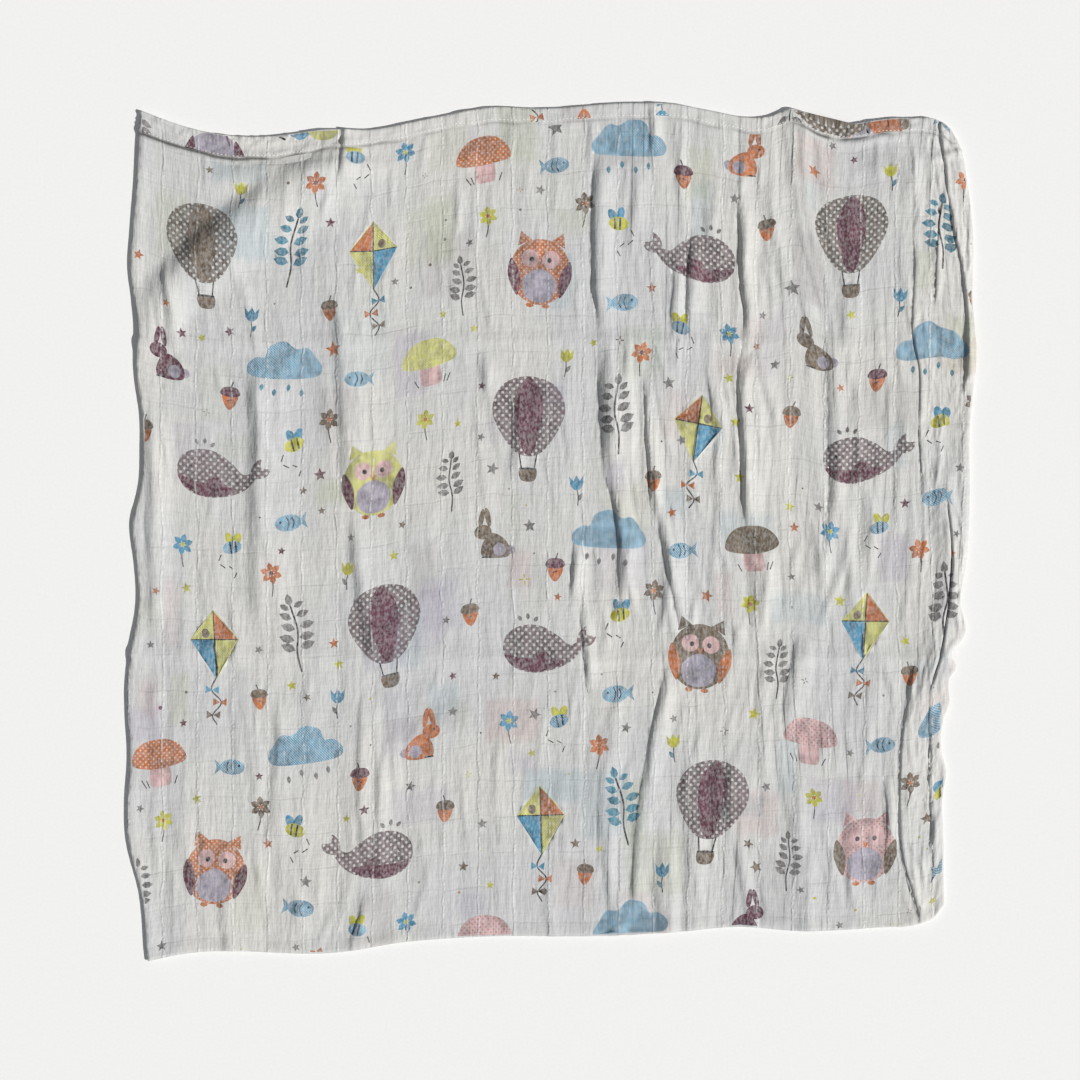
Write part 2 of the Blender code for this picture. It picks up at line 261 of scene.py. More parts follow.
HEM_LINES = (-1.2, 0.2, 1.6, 3.4)  # where lines of the mesh follow the far hem, nearer than its edge
STEEP_LINES = (1, 0.88, 0.6, 0)  # where they follow a sharp fold, as shares of its steep side,
CREST_LINE = 2.2  # and beyond its crest
EDGE_GAP = 4  # how far such lines keep away from the cloth's edges
LEAST_RISE = 0.25  # least upward part of the way in which the sheet is thick
EDGE_BULGE = 0.3  # how far the rolled edge stands out, as a share of the thickness

# What the solid is too coarse for. Waves: height, size across, size along and seed of each.
FINE_WAVES = ((0.25, 6.5, 45, 51), (0.45, 12, 70, 52))
BROAD_WAVES = ((0.8, 27, 170, 55),)
CRUMPLES = ((0.8, 10, 27, 53), (0.6, 5, 10, 54))  # sharp ones, in the strips at the right
CRUMPLED_FROM = (4.9, 5.15)  # strip shares between which those begin
HEM_PUCKERS = ((0.5, 7, 16, 42),)
SLANTED_PUCKERS = ((0.5, 15, 9, 43),)
HEM_CRUMPLES = ((1.2, 15, 7, 45),)
CRUMPLE_SLANT = 1.5  # how far those run sideways, for each millimetre away from the edge
HEM_RISE = 0.6  # how far the far hem stands above the cloth beside it, besides its thickness
FACE_RISE = 0.8  # added everywhere, so that no wave reaches into the sheet
EDGE_LIFTS = {"left": (1.9, 24), "right": (1.2, 20), "far": (1.8, 24), "near": (1.2, 20)}  # height and width

# How a small crinkle's sizes vary, as shares of its middling ones
LENGTH_SPREAD = (0.5, 1.7)
LEFT_SPREAD, RIGHT_SPREAD = (0.35, 0.7), (1.0, 2.4)
HEIGHT_SPREAD = (0.35, 1.5)
CRINKLE_REACH = 0.7  # strips away from a crinkle beyond which it has no height


def smooth_curve(rows, place):
    """The value at each place on a smooth curve through the rows of (place, value)."""
    places, values = np.array(rows, float).T
    slopes = np.gradient(values, places)
    place = np.clip(place, places[0], places[-1])
    i = np.clip(np.searchsorted(places, place, side="right") - 1, 0, len(places) - 2)
    step = places[i + 1] - places[i]
    f = (place - places[i]) / step
    rise = 3 * f**2 - 2 * f**3
    start = values[i] + (values[i + 1] - values[i]) * rise
    return start + step * (slopes[i] * (f - 2 * f**2 + f**3) + slopes[i + 1] * (f**3 - f**2))


def through_three(near, half, far, share):
    """A parabola from near, through half, to far, at a share of the way."""
    return near + share * (4 * half - 3 * near - far) + share**2 * 2 * (near + far - 2 * half)


def bump(distance, before, after):
    """1 at distance 0, falling smoothly to 0 at -before and at +after."""
    side = np.where(distance < 0, before, after)
    return (1 - np.clip(distance / side, -1, 1) ** 2) ** 2


def pleat(distance, steep, slow, round_foot=False):
    """1 at a crest. The left side rises steeply from a sharp foot and rounds off; the right one is slow."""
    if round_foot:
        left = (1 - np.clip(distance / steep, -1, 0) ** 2) ** 2
    else:
        left = 1 - np.clip(-distance / steep, 0, 1) ** FOOT_SHARPNESS
    way = np.clip(distance / slow, 0, 1)
    return np.where(distance < 0, left, (1 - way) ** 2 * (1 + SLOW_BULGE * way))


def ease(value, low, high):
    """0 below low, 1 above high and a smooth rise between them; low may be the larger."""
    share = np.clip((value - low) / (high - low), 0, 1)
    return share**2 * (3 - 2 * share)


def between(place, start, end, height):
    """1 between start and end, falling smoothly to 0 at both, more slowly for a tall fold."""
    fade = FADE + FADE_SLOPE * height if height > 0 else SLOT_FADE
    return ease(np.minimum(place - start, end - place), 0, fade)


def soft_noise(across, along, seed):
    """Smooth random values from -1 to 1 that change over about one unit."""
    size = 64
    table = np.random.default_rng(seed).uniform(-1, 1, (size, size))
    i, j = np.floor(across).astype(int), np.floor(along).astype(int)
    f, g = ease(across - i, 0, 1), ease(along - j, 0, 1)
    near = table[i % size, j % size] * (1 - f) + table[(i + 1) % size, j % size] * f
    far = table[i % size, (j + 1) % size] * (1 - f) + table[(i + 1) % size, (j + 1) % size] * f
    return near * (1 - g) + far * g


def ridges(across, along, seed):
    """Random sharp ridges, from 0 to 1."""
    return (1 - np.abs(soft_noise(across, along, seed))) ** 3


def layered(noise_kind, u, v, layers):
    """Sum of layers of noise, each with its height, its size across and along, and its seed."""
    return sum(height * noise_kind(u / across, v / along, seed) for height, across, along, seed in layers)


def spread_lines(y):
    """x of the left edge, of each crease in turn and of the right edge, where the cloth has the given y."""
    inner = [smooth_curve(rows, y) for rows in CREASES.values()]
    return [smooth_curve(LEFT_EDGE, y), *inner, smooth_curve(RIGHT_EDGE, y)]


def flat_places(share, row):
    """x and y before any fold rises, and the width of the strip: share runs from 0 to 1 in each strip."""
    strip = np.clip(share.astype(int), 0, len(CREASES))
    part = share - strip
    y = NEAR_Y + (FAR_Y - NEAR_Y) * row
    for _ in range(ROUNDS):
        lines = np.stack(spread_lines(y))
        start = np.take_along_axis(lines, strip[None], 0)[0]
        end = np.take_along_axis(lines, strip[None] + 1, 0)[0]
        x = start + (end - start) * part
        near = smooth_curve(NEAR_EDGE, x)
        y = near + (smooth_curve(FAR_EDGE, x) - near) * row
    return x, y, end - start


def is_soft(fold):
    """Whether a fold has a rounded foot, as low ones and the wide ones in the left half have."""
    on_the_left = fold.crease == "first" if isinstance(fold, LongFold) else fold.x_half < 0
    low = fold.left > SHARP_WIDTH and fold.height < GENTLE_HEIGHT
    wide = fold.left > (ROUND_WIDTH_LEFT if on_the_left else ROUND_WIDTH)
    return wide or low or fold.height < 0


def steep_side(fold):
    """Width of a fold's steep side."""
    if is_soft(fold):
        return fold.left
    return fold.left * (STEEP_SHARE + STEEP_GAIN * ease(np.array(fold.left), *STEEP_WIDTHS))


def crest_line(number, y):
    """x of a fold's crest where the cloth has the given y."""
    fold = ALL_FOLDS[number]
    if isinstance(fold, LongFold):
        middle = smooth_curve(CREASES[fold.crease], y) + fold.beside
    else:
        way = np.clip((y - fold.near) / (fold.far - fold.near), 0, 1)
        middle = through_three(fold.x_near, fold.x_half, fold.x_far, way)
    wander = sum(share * soft_noise(y / length, y * 0 + number, seed) for share, length, seed in CREST_WAVES)
    stated = ROUND_PLACE if is_soft(fold) else SHARP_PLACE
    stray = CREST_WANDER * min(fold.left / STEEP_WIDTHS[0], 1)
    return middle + steep_side(fold) * (1 - stated) + CREST_LEAN * max(fold.height, 0) + stray * wander


def folded(x, y):
    """What all folds do to the cloth at the place x, y: sideways shift, height and groove at their feet."""
    shift, height, groove = np.zeros((3, *x.shape))
    for number, fold in enumerate(ALL_FOLDS):
        beside = x - crest_line(number, y)
        here = between(y, fold.near, fold.far, fold.height)
        rise = pleat(beside, steep_side(fold), fold.right, is_soft(fold)) * here
        shift += getattr(fold, "lean", 0) * rise
        height += fold.height * rise
        if not is_soft(fold) and fold.height > 0:
            pressed = bump(beside + steep_side(fold), *GROOVE_SIDES) * here
            groove = np.maximum(groove, pressed * min(fold.height / GROOVE_HEIGHT, 1))
    for fold in ACROSS_FOLDS:
        way = np.clip((x - fold.left) / (fold.right - fold.left), 0, 1)
        crest = through_three(fold.y_left, fold.y_half, fold.y_right, way)
        rise = bump(y - crest, fold.near_side, fold.far_side)
        height += fold.height * rise * between(x, fold.left, fold.right, fold.height)
    return shift, np.maximum(height, 0), groove


class LengthTable:
    """How far along the cloth, from its left edge, each strip share lies, in many rows."""

    def __init__(self):
        self.shares = np.linspace(0, len(CREASES) + 1 - JUST_UNDER, ARC_SAMPLES)
        share, row = np.meshgrid(self.shares, np.linspace(0, 1, ARC_ROWS))
        x, y, _ = flat_places(share, row)
        shift, height, _ = folded(x, y)
        steps = np.hypot(np.diff(x + shift, axis=1), np.diff(height, axis=1))
        taken_up = np.cumsum(steps - np.diff(x, axis=1), axis=1)
        reach = round(EVENING / (FAR_Y - NEAR_Y) * ARC_ROWS)
        weights = np.hanning(2 * reach + 1)
        padded = np.pad(taken_up, ((reach, reach), (0, 0)), mode="edge")
        evened = sum(w * padded[k:k + ARC_ROWS] for k, w in enumerate(weights / weights.sum()))
        steps = np.maximum(np.diff(x, axis=1) + np.diff(evened, axis=1, prepend=0), LEAST_STEP)
        self.u = np.cumsum(np.concatenate([x[:, :1], steps], axis=1), axis=1)

    def row_of(self, v):
        """The row below each v, and the part of the way from there to the next."""
        place = (v - NEAR_Y) / (FAR_Y - NEAR_Y) * (ARC_ROWS - 1)
        below = np.clip(place.astype(int), 0, ARC_ROWS - 2)
        return below, place - below

    def u_at(self, share, v):
        """u of the given strip share in the rows v."""
        below, part = self.row_of(np.asarray(v, float))
        column = share / self.shares[-1] * (ARC_SAMPLES - 1)
        left = np.clip(np.asarray(column).astype(int), 0, ARC_SAMPLES - 2)
        beyond = column - left
        rows = (below, below + 1)
        low, high = (self.u[k, left] * (1 - beyond) + self.u[k, left + 1] * beyond for k in rows)
        return low * (1 - part) + high * part

    def edges(self, v):
        """u of the left and of the right edge."""
        return self.u_at(0.0, v), self.u_at(self.shares[-1], v)

    def shares_at(self, u, v):
        """The strip share of each place on the flat cloth."""
        below, part = self.row_of(v)
        found = np.empty_like(u)
        for k in np.unique(below):
            here = below == k
            low = np.interp(u[here], self.u[k], self.shares)
            high = np.interp(u[here], self.u[k + 1], self.shares)
            found[here] = low * (1 - part[here]) + high * part[here]
        return found

    def flat_at(self, x, y):
        """u and v of the cloth at the flat places x, y."""
        near = smooth_curve(NEAR_EDGE, x)
        row = np.clip((y - near) / (smooth_curve(FAR_EDGE, x) - near), 0, 1)
        lines = np.stack(spread_lines(y))
        strip = np.clip((lines <= x).sum(0) - 1, 0, len(CREASES))
        start, end = (np.take_along_axis(lines, strip[None] + k, 0)[0] for k in (0, 1))
        share = np.clip(strip + (x - start) / (end - start), 0, self.shares[-1])
        v = NEAR_Y + (FAR_Y - NEAR_Y) * row
        return self.u_at(share, v), v


@functools.cache
def length_table():
    """The one table that the cloth and its stitches share."""
    return LengthTable()


def crinkle_height(share, width, v):
    """Height of all small crinkles together."""
    height = np.zeros_like(v)
    for area in CRINKLES:
        random = np.random.default_rng(area.seed)
        for _ in range(area.count):
            length = area.length * random.uniform(*LENGTH_SPREAD)
            middle = random.uniform(area.near, area.far)
            near, far = max(middle - length / 2, area.near - 6), min(middle + length / 2, area.far + 6)
            track = random.uniform(area.from_strip, area.to_strip)
            left = area.side * random.uniform(*LEFT_SPREAD)
            right = area.side * random.uniform(*RIGHT_SPREAD)
            drift, sway = random.normal(0, area.drift), random.normal(0, area.drift / 2)
            top = area.height * random.uniform(*HEIGHT_SPREAD)
            here = np.flatnonzero((v > near) & (v < far) & (np.abs(share - track) < CRINKLE_REACH))
            way = (v[here] - near) / (far - near) * 2 - 1
            distance = (share[here] - track) * width[here] - drift * way - sway * way**2
            fade = min(length * 0.45, 40)
            rise = ease(np.minimum(v[here] - near, far - v[here]), 0, fade)
            height[here] += top * rise * pleat(distance, left, right)
    return height


def far_hem(u, cloth):
    """Width of the hem that is turned to the face along the far edge. It is wider at the left."""
    return cloth.top_hem / MM + 9 * ease(u, -200, -330) + 1.2 * soft_noise(u / 23, u * 0, 41)


def edge_lift(u, v, left, right):
    """How far the cloth near its edges stands off the floor."""
    ragged = 0.75 + 0.4 * soft_noise(v / 37, u / 41, 44)
    inwards = {"left": u - left, "right": right - u, "far": FAR_Y - v, "near": v - NEAR_Y}
    lifts = [high * ease(inwards[side], wide, 0) for side, (high, wide) in EDGE_LIFTS.items()]
    return np.maximum.reduce(lifts) * ragged


def hem_height(u, v, left, right, cloth):
    """Extra height of the hems. The far one is turned to the face, puckered by its stitches and rolls up at
    the left and at the right, where a lip of cloth stands beside it."""
    from_far = FAR_Y - v
    wide = far_hem(u, cloth)
    extra = (cloth.hem_thickness - cloth.thickness) / MM
    inside = ease(from_far, wide + 0.9, wide - 0.9)
    pucker = layered(soft_noise, u, from_far, HEM_PUCKERS)
    pucker = pucker + layered(soft_noise, u + from_far, from_far, SLANTED_PUCKERS)
    crumpled = 1.5 * ease(u, -200, -260) + ease(u, 290, 330)
    pucker += crumpled * layered(ridges, u + CRUMPLE_SLANT * from_far, from_far, HEM_CRUMPLES)
    at_right = ease(u, 300, 330)
    rolled = bump(from_far - wide + 4, 7, 6) * (1.2 * at_right + 1.4 * ease(u, -200, -280))
    lip = 2.4 * bump(from_far - wide - 4.5, 3.2, 8) * at_right * ease(u, 450, 430)
    far_extra = inside * (extra + HEM_RISE + pucker) + rolled + lip
    side = cloth.side_hem / MM
    from_edge = np.minimum(np.minimum(u - left, right - u), v - NEAR_Y)
    others = ease(from_edge, side + 1.5, side - 1.5) * extra * 0.6
    return np.maximum(far_extra, others)


def relief(u, v, share, width, left, right, groove, cloth):
    """Height of everything too fine for the solid, above the sheet's upper side."""
    pitch = cloth.tack_pitch / MM
    cell = np.abs(np.sin(math.pi * u / pitch) * np.sin(math.pi * v / pitch)) ** 0.5
    busy = 0.55 + 0.45 * ease(u, 20, 90)
    soft = cloth.puff / MM * cell + busy * layered(soft_noise, u, v, FINE_WAVES)
    soft = soft + layered(soft_noise, u, v, BROAD_WAVES)
    soft = soft + ease(share, *CRUMPLED_FROM) * layered(ridges, u, v, CRUMPLES)
    soft = soft + crinkle_height(share, width, v) - GROOVE_DEPTH * groove
    inner = ease(np.minimum(np.minimum(u - left, right - u), v - NEAR_Y), 0, 6)
    in_hem = ease(FAR_Y - v, far_hem(u, cloth) + 4, far_hem(u, cloth) - 2)
    return soft * inner * (1 - 0.75 * in_hem) + hem_height(u, v, left, right, cloth) + FACE_RISE


# ---------------------------------------------------------------- drawing of the print

PLAIN, HATCHED, WHITE_DOTS, DARK_DOTS, LIGHT_DOTS = range(5)
PATTERNS = {
    "hatched": HATCHED, "white-dotted": WHITE_DOTS, "dark-dotted": DARK_DOTS, "light-dotted": LIGHT_DOTS,
}


def line_steps(p0, p1, p2, p3, steps):
    """Points of a smooth curve from p1 up to p2."""
    t = (np.arange(steps) / steps)[:, None]
    bend = (2 * p0 - 5 * p1 + 4 * p2 - p3) * t**2 + (3 * p1 - p0 - 3 * p2 + p3) * t**3
    return p1 + 0.5 * ((p2 - p0) * t + bend)


def blob(*points, steps=5):
    """A closed smooth outline through a few points."""
    p = np.array(points, float)
    corners = zip(np.roll(p, 1, 0), p, np.roll(p, -1, 0), np.roll(p, -2, 0))
    return np.concatenate([line_steps(*four, steps) for four in corners])


def both_sides(*half):
    """Points of a shape that is the same on both sides: its right half, from the top, and then its left."""
    return (*half, *((-x, y) for x, y in half[::-1] if x > 0))


def shape(*points):
    """A closed outline with straight sides."""
    return np.array(points, float)


def oval(x, y, wide, high, turn=0):
    """An oval around x, y, of half the given width and height, turned by some degrees."""
    steps = max(8, int(1.1 * (wide + high)))
    angle = np.arange(steps) * math.tau / steps
    flat = np.stack([wide * np.cos(angle), high * np.sin(angle)], 1)
    return turned(flat, turn) + (x, y)


def turned(points, degrees):
    """Points turned counterclockwise around the origin."""
    c, s = math.cos(math.radians(degrees)), math.sin(math.radians(degrees))
    return points @ np.array([[c, s], [-s, c]])


def stroke(*points, width=1.8, steps=4):
    """Outline of a line of even width through a few points."""
    p = np.array(points, float)
    if len(p) > 2:
        ends = np.concatenate([[2 * p[0] - p[1]], p, [2 * p[-1] - p[-2]]])
        p = np.concatenate([line_steps(*ends[k:k + 4], steps) for k in range(len(p) - 1)] + [p[-1:]])
    way = np.gradient(p, axis=0)
    way /= np.linalg.norm(way, axis=1, keepdims=True)
    side = np.stack([-way[:, 1], way[:, 0]], 1) * width / 2
    start, end = p[:1] - way[:1] * width / 2, p[-1:] + way[-1:] * width / 2
    return np.concatenate([p - side, end, (p + side)[::-1], start])


def leaf(x, y, length, wide, turn):
    """A pointed leaf whose stalk end is at x, y."""
    half = [(0, 0), (0.3, 0.42), (0.65, 0.4), (1, 0)]
    points = [(a * length, b * wide) for a, b in half] + [(a * length, -b * wide) for a, b in half[2:0:-1]]
    return turned(np.array(points), turn) + (x, y)


def balloon(ink, trim):
    """A hot-air balloon with a basket."""
    envelope = both_sides((0, 58), (32, 47), (45, 18), (34, -12), (13, -36))
    gore = both_sides((0, 57), (14, 40), (18, 14), (12, -14), (5, -35))
    ropes = [("charcoal", stroke((side * 11, -36), (side * 8, -54))) for side in (-1, 1)]
    basket = ("taupe", blob((-10, -54), (10, -54), (8, -68), (-8, -68)))
    rim = ("charcoal", stroke((-10, -54), (10, -54), width=2.2))
    return [(ink, blob(*envelope)), (trim, blob(*gore)), *ropes, basket, rim]


def whale(ink, trim):
    """A whale with its tail up and three drops above it."""
    body = blob(
        (-54, -2), (-50, 18), (-32, 31), (-6, 33), (18, 21), (34, 9), (50, 14), (54, 8), (40, -11), (16, -24),
        (-16, -30), (-42, -22),
    )
    tail = blob((45, 9), (47, 24), (57, 33), (58, 22), (70, 20), (66, 10), (54, 6))
    belly = blob((-52, -8), (-30, -11), (0, -11), (28, -12), (14, -23), (-16, -29), (-41, -21))
    fin = blob((-10, -4), (4, -2), (8, -16), (2, -22), (-7, -14))
    eye = ("charcoal", oval(-37, 7, 2.3, 2.6))
    places = ((-30, 38, 130), (-22, 40, 90), (-14, 38, 50))
    drops = [("grey", leaf(x, y, 9, 6, turn)) for x, y, turn in places]
    return [(ink, body), (ink, tail), (trim, belly), (trim, fin), eye, *drops]


def owl(ink, trim):
    """A round owl on two feet."""
    ears = [(ink, shape((s * 30, 30), (s * 27, 49), (s * 12, 39))) for s in (-1, 1)]
    wings = [(trim, blob((s * 37, 14), (s * 40, -8), (s * 27, -32), (s * 25, -6))) for s in (-1, 1)]
    eyes = [("blush", oval(s * 13, 16, 11, 11)) for s in (-1, 1)]
    pupils = [("charcoal", oval(s * 11, 15, 3, 3.4)) for s in (-1, 1)]
    feet = [("orange", oval(s * 10, -42, 5, 3)) for s in (-1, 1)]
    bib = ("lilac", blob(*both_sides((0, 4), (21, -10), (17, -32), (0, -38))))
    beak = ("orange", shape((-4, 10), (0, 2), (4, 10)))
    return [*ears, *feet, (ink, oval(0, 0, 38, 41)), bib, *wings, *eyes, *pupils, beak]


def kite(ink, trim):
    """A kite with three bows on its tail."""
    tail = stroke((0, -34), (7, -50), (-5, -66), (7, -82), (2, -94), width=1.8)
    bows = []
    for name, x, y in (("sky", 6, -50), ("orange", -3, -66), ("taupe", 6, -82)):
        bows.append((name, shape((x, y), (x - 9, y + 5), (x - 8, y - 5))))
        bows.append((name, shape((x, y), (x + 8, y + 6), (x + 9, y - 4))))
    return [
        (ink, shape((0, 52), (31, 14), (0, -36), (-31, 14))), (trim, shape((0, 14), (31, 14), (0, -36))),
        ("orange", shape((0, 50), (0, 14), (-30, 14))), ("taupe", oval(11, 22, 5, 6)),
        ("charcoal", stroke((0, 50), (0, -34), width=1.5)),
        ("charcoal", stroke((-29, 14), (29, 14), width=1.5)), ("charcoal", tail), *bows,
    ]


def cloud(ink, trim):
    """A cloud with falling drops."""
    body = blob(
        (-43, -15), (-49, -2), (-38, 9), (-27, 10), (-21, 24), (-2, 30), (13, 20), (27, 21), (38, 9),
        (47, -4), (40, -16), (0, -18),
    )
    drops = [(trim, leaf(x, y, 10, 6, -96)) for x, y in ((-28, -24), (-12, -30), (6, -24), (23, -31))]
    return [(ink, body), *drops]


def mushroom(ink, trim):
    """A toadstool with grass at its foot."""
    stem = blob((-9, 2), (9, 2), (13, -25), (0, -29), (-13, -25))
    cap = blob((-34, 0), (-29, 17), (-13, 28), (13, 28), (29, 17), (34, 0), (13, -6), (-13, -6))
    blades = ((-17, -4), (15, 3), (19, 5))
    grass = [("charcoal", stroke((x, -28), (x + lean, -19), width=1.4)) for x, lean in blades]
    return [(trim, stem), (ink, cap), *grass]


def rabbit(ink, trim):
    """A sitting rabbit, seen from the side."""
    return [
        (trim, oval(21, -12, 6, 6)),
        (ink, blob((-12, -21), (-14, -6), (-4, 8), (10, 4), (20, -8), (17, -21))),
        (ink, oval(-7, 28, 3.6, 12, 12)), (ink, oval(-15, 27, 3.4, 12, -10)), (ink, oval(-13, 10, 11, 9)),
        (trim, oval(8, -12, 8, 8)), ("charcoal", oval(-17, 12, 1.5, 1.7)),
        ("charcoal", stroke((-14, -21), (-4, -21))),
    ]


def fish(ink, trim):
    """A small fish."""
    return [
        (ink, shape((11, 0), (23, 10), (20, 0), (23, -10))), (ink, oval(0, 0, 16, 10)),
        ("charcoal", oval(-9, 2, 1.5, 1.7)), ("charcoal", stroke((-2, 8), (1, 0), (-2, -8), width=1.3)),
        (trim, stroke((5, 6), (7, 0), (5, -6), width=1.6)),
    ]


def bee(ink, trim):
    """A bee and the line that it flew."""
    trail = [((-14, -10), (-17, -17)), ((-15, -22), (-9, -26)), ((-4, -24), (1, -27)), ((5, -32), (2, -38))]
    return [
        (trim, oval(-3, 10, 5, 9, 25)), (trim, oval(6, 10, 5, 9, -25)), (ink, oval(0, 0, 12, 8, 15)),
        ("charcoal", stroke((-3, 6), (-1, -7), width=2.2)), ("charcoal", stroke((4, 7), (5, -5), width=2.2)),
        *[("charcoal", stroke(*dash, width=1.4)) for dash in trail],
    ]


def acorn(ink, trim):
    """An acorn."""
    return [
        ("charcoal", stroke((0, 9), (3, 18), width=1.7)),
        (ink, blob((-9, 2), (9, 2), (7, -10), (0, -17), (-7, -10))),
        (trim, blob((-12, 2), (-9, 10), (0, 12), (9, 10), (12, 2), (0, -1))),
        (trim, stroke((-3, -6), (2, -4))),
    ]


def daisy(ink, trim):
    """A small flower on a stalk."""
    petals = [(ink, turned(leaf(2, 0, 12, 9, 0), k * 60 + 20) + (0, 8)) for k in range(6)]
    return [("charcoal", stroke((0, 6), (-1, -8), (1, -21), width=1.4)), *petals, (trim, oval(0, 8, 3, 3))]


def tulip(ink, trim):
    """A tulip."""
    cup = shape((-9, 14), (-4, 8), (0, 15), (4, 8), (9, 14), (8, 2), (3, -3), (-3, -3), (-8, 2))
    stalk = stroke((0, -3), (1, -12), (0, -22), width=1.4)
    return [(trim, leaf(0, -17, 12, 6, 55)), ("charcoal", stalk), (ink, cup)]


def sprig(ink, trim):
    """A bent stalk with pairs of leaves."""
    stalk = [(0, -46), (3, -22), (0, 4), (6, 34)]
    shapes = [(trim, stroke(*stalk, width=2.2))]
    pairs = ((2, -22, 14, 19), (2, -10, 6, 19), (0, 3, 10, 18), (3, 16, 16, 16), (5, 27, 24, 13))
    for x, y, turn, size in pairs:
        shapes.append((ink, leaf(x + 3, y + 2, size, size * 0.62, turn + 14)))
        shapes.append((ink, leaf(x - 3, y + 5, size, size * 0.62, 180 - turn)))
    return shapes + [(ink, leaf(6, 34, 15, 10, 80))]


def star(ink, trim):
    """A five-pointed star."""
    angle = math.radians(90) + np.arange(10) * math.tau / 10
    radius = np.where(np.arange(10) % 2 == 0, 10.0, 4.4)
    return [(ink, np.stack([radius * np.cos(angle), radius * np.sin(angle)], 1))]


def spark(ink, trim):
    """Four short strokes around a middle."""
    ways = ((1, 0), (0, 1), (-1, 0), (0, -1))
    return [(ink, stroke((a * 2, b * 2), (a * 6, b * 6), width=1.5)) for a, b in ways]


def speck(ink, trim):
    """A small dot."""
    return [(ink, oval(0, 0, 2.4, 2.4))]


# One repeat of the print: motif, its middle, size and inks. A repeat beside another is half a repeat lower.
REPEAT = (408.0, 480.0)
PRINT_START = (-522.0, -965.0)  # where the first repeat has its corner
Motif = namedtuple("Motif", "draw x y size ink trim")
MOTIFS = [Motif(*row) for row in (
    (balloon, 90, 376, 1.02, "mauve white-dotted", "plum"),
    (owl, 304, 84, 0.99, "orange light-dotted", "plum"),
    (kite, 304, 360, 0.98, "lime hatched", "sky"),
    (cloud, 193, 238, 0.98, "sky hatched", "teal"),
    (whale, 107, 97, 0.93, "mauve white-dotted", "plum"),
    (mushroom, 374, 222, 0.99, "orange light-dotted", "blush"),
    (sprig, 200, 383, 1.04, "teal", "charcoal"),
    (sprig, 399, 70, 0.79, "grey", "charcoal"),
    (rabbit, 46, 233, 1.00, "plum", "lilac"),
    (fish, 197, 41, 1.05, "sky hatched", "charcoal"),
    (fish, 283, 215, 0.97, "sky hatched", "charcoal"),
    (bee, 204, 138, 1.05, "lime", "sky"),
    (bee, 126, 10, 1.00, "sky hatched", "lime"),
    (acorn, 123, 199, 1.00, "orange", "plum"),
    (acorn, 249, 303, 0.89, "orange", "taupe"),
    (acorn, 16, 145, 0.95, "orange", "taupe"),
    (daisy, 248, 158, 1.00, "taupe", "orange"),
    (daisy, 64, 2, 0.95, "sky", "lime"),
    (tulip, 151, 297, 1.00, "sky", "teal"),
    (daisy, 232, 451, 1.00, "orange", "plum"),
    (tulip, 137, 455, 0.95, "lime", "teal"),
    (daisy, 369, 145, 0.89, "lime", "orange"),
)]
# From one repeat to the next these inks change in turn
CHANGING_INKS = {
    "orange light-dotted": ("orange light-dotted", "blush dark-dotted", "lime hatched", "taupe", "lilac"),
    "plum": ("plum", "taupe", "plum", "orange", "plum"),
    "mauve white-dotted": ("mauve white-dotted", "mauve white-dotted", "greymauve white-dotted"),
    "teal": ("teal", "grey", "teal"),
}
COLUMNS, ROWS = 4, 4  # of repeats
MOTIF_TURN = 7  # degrees that a motif may be turned either way
SMALL_MARKS = 150  # stars, sparks and specks strewn between the motifs
MARK_INKS = ("grey", "lime", "grey", "lime", "taupe", "orange", "grey", "plum")
MARK_KINDS = {star: 0.68, spark: 0.12, speck: 0.2}  # and how often each is drawn
MARK_SIZES = {0.55: 0.35, 0.7: 0.35, 0.85: 0.2, 1.1: 0.1}
MARK_TURN = 25
MARK_GAP = 13.0  # at least this far from any motif
PRINT_MARGIN = 2.0  # the print stops this short of an edge


def placed(shapes, x, y, size, flip, turn):
    """Shapes moved from their own middle to the cloth."""
    mirror = np.array([-1.0 if flip else 1.0, 1.0])
    return [(ink, turned(outline * mirror * size, turn) + (x, y)) for ink, outline in shapes]


def repeated_motifs():
    """Every motif on the cloth: its shapes and its middle."""
    random = np.random.default_rng(5)
    across, along = REPEAT
    found = []
    for column in range(COLUMNS):
        for row in range(ROWS):
            number = column * 3 + row * 2
            left = PRINT_START[0] + column * across
            near = PRINT_START[1] + row * along + (along / 2 if column % 2 else 0)
            for motif in MOTIFS:
                inks = []
                for ink in (motif.ink, motif.trim):
                    choices = CHANGING_INKS.get(ink, (ink,))
                    inks.append(choices[(number + len(motif.draw.__name__)) % len(choices)])
                flip = (column + row) % 2 == 1
                x = left + (across - motif.x if flip else motif.x)
                y = near + motif.y
                turn = random.uniform(-MOTIF_TURN, MOTIF_TURN)
                found.append((placed(motif.draw(*inks), x, y, motif.size, flip, turn), x))
    return found


def small_marks(motifs):
    """Stars, sparks and specks in the gaps between the motifs."""
    random = np.random.default_rng(9)
    outlines = [outline for shapes, _ in motifs for _, outline in shapes]
    taken = np.concatenate(outlines)
    tries = random.uniform((-520, NEAR_Y), (560, FAR_Y), (SMALL_MARKS * 30, 2))
    marks = []
    for x, y in tries[uppermost(outlines, tries) == 0]:
        if len(marks) == SMALL_MARKS:
            break
        size = random.choice(list(MARK_SIZES), p=list(MARK_SIZES.values()))
        if np.hypot(*(taken - (x, y)).T).min() < MARK_GAP + 8 * size:
            continue
        draw = list(MARK_KINDS)[random.choice(len(MARK_KINDS), p=list(MARK_KINDS.values()))]
        ink = MARK_INKS[random.integers(len(MARK_INKS))]
        shapes = placed(draw(ink, ink), x, y, size, False, random.uniform(-MARK_TURN, MARK_TURN))
        marks.append((shapes, x))
        taken = np.concatenate([taken, shapes[0][1] + 0.01, [(x, y)]])
    return marks


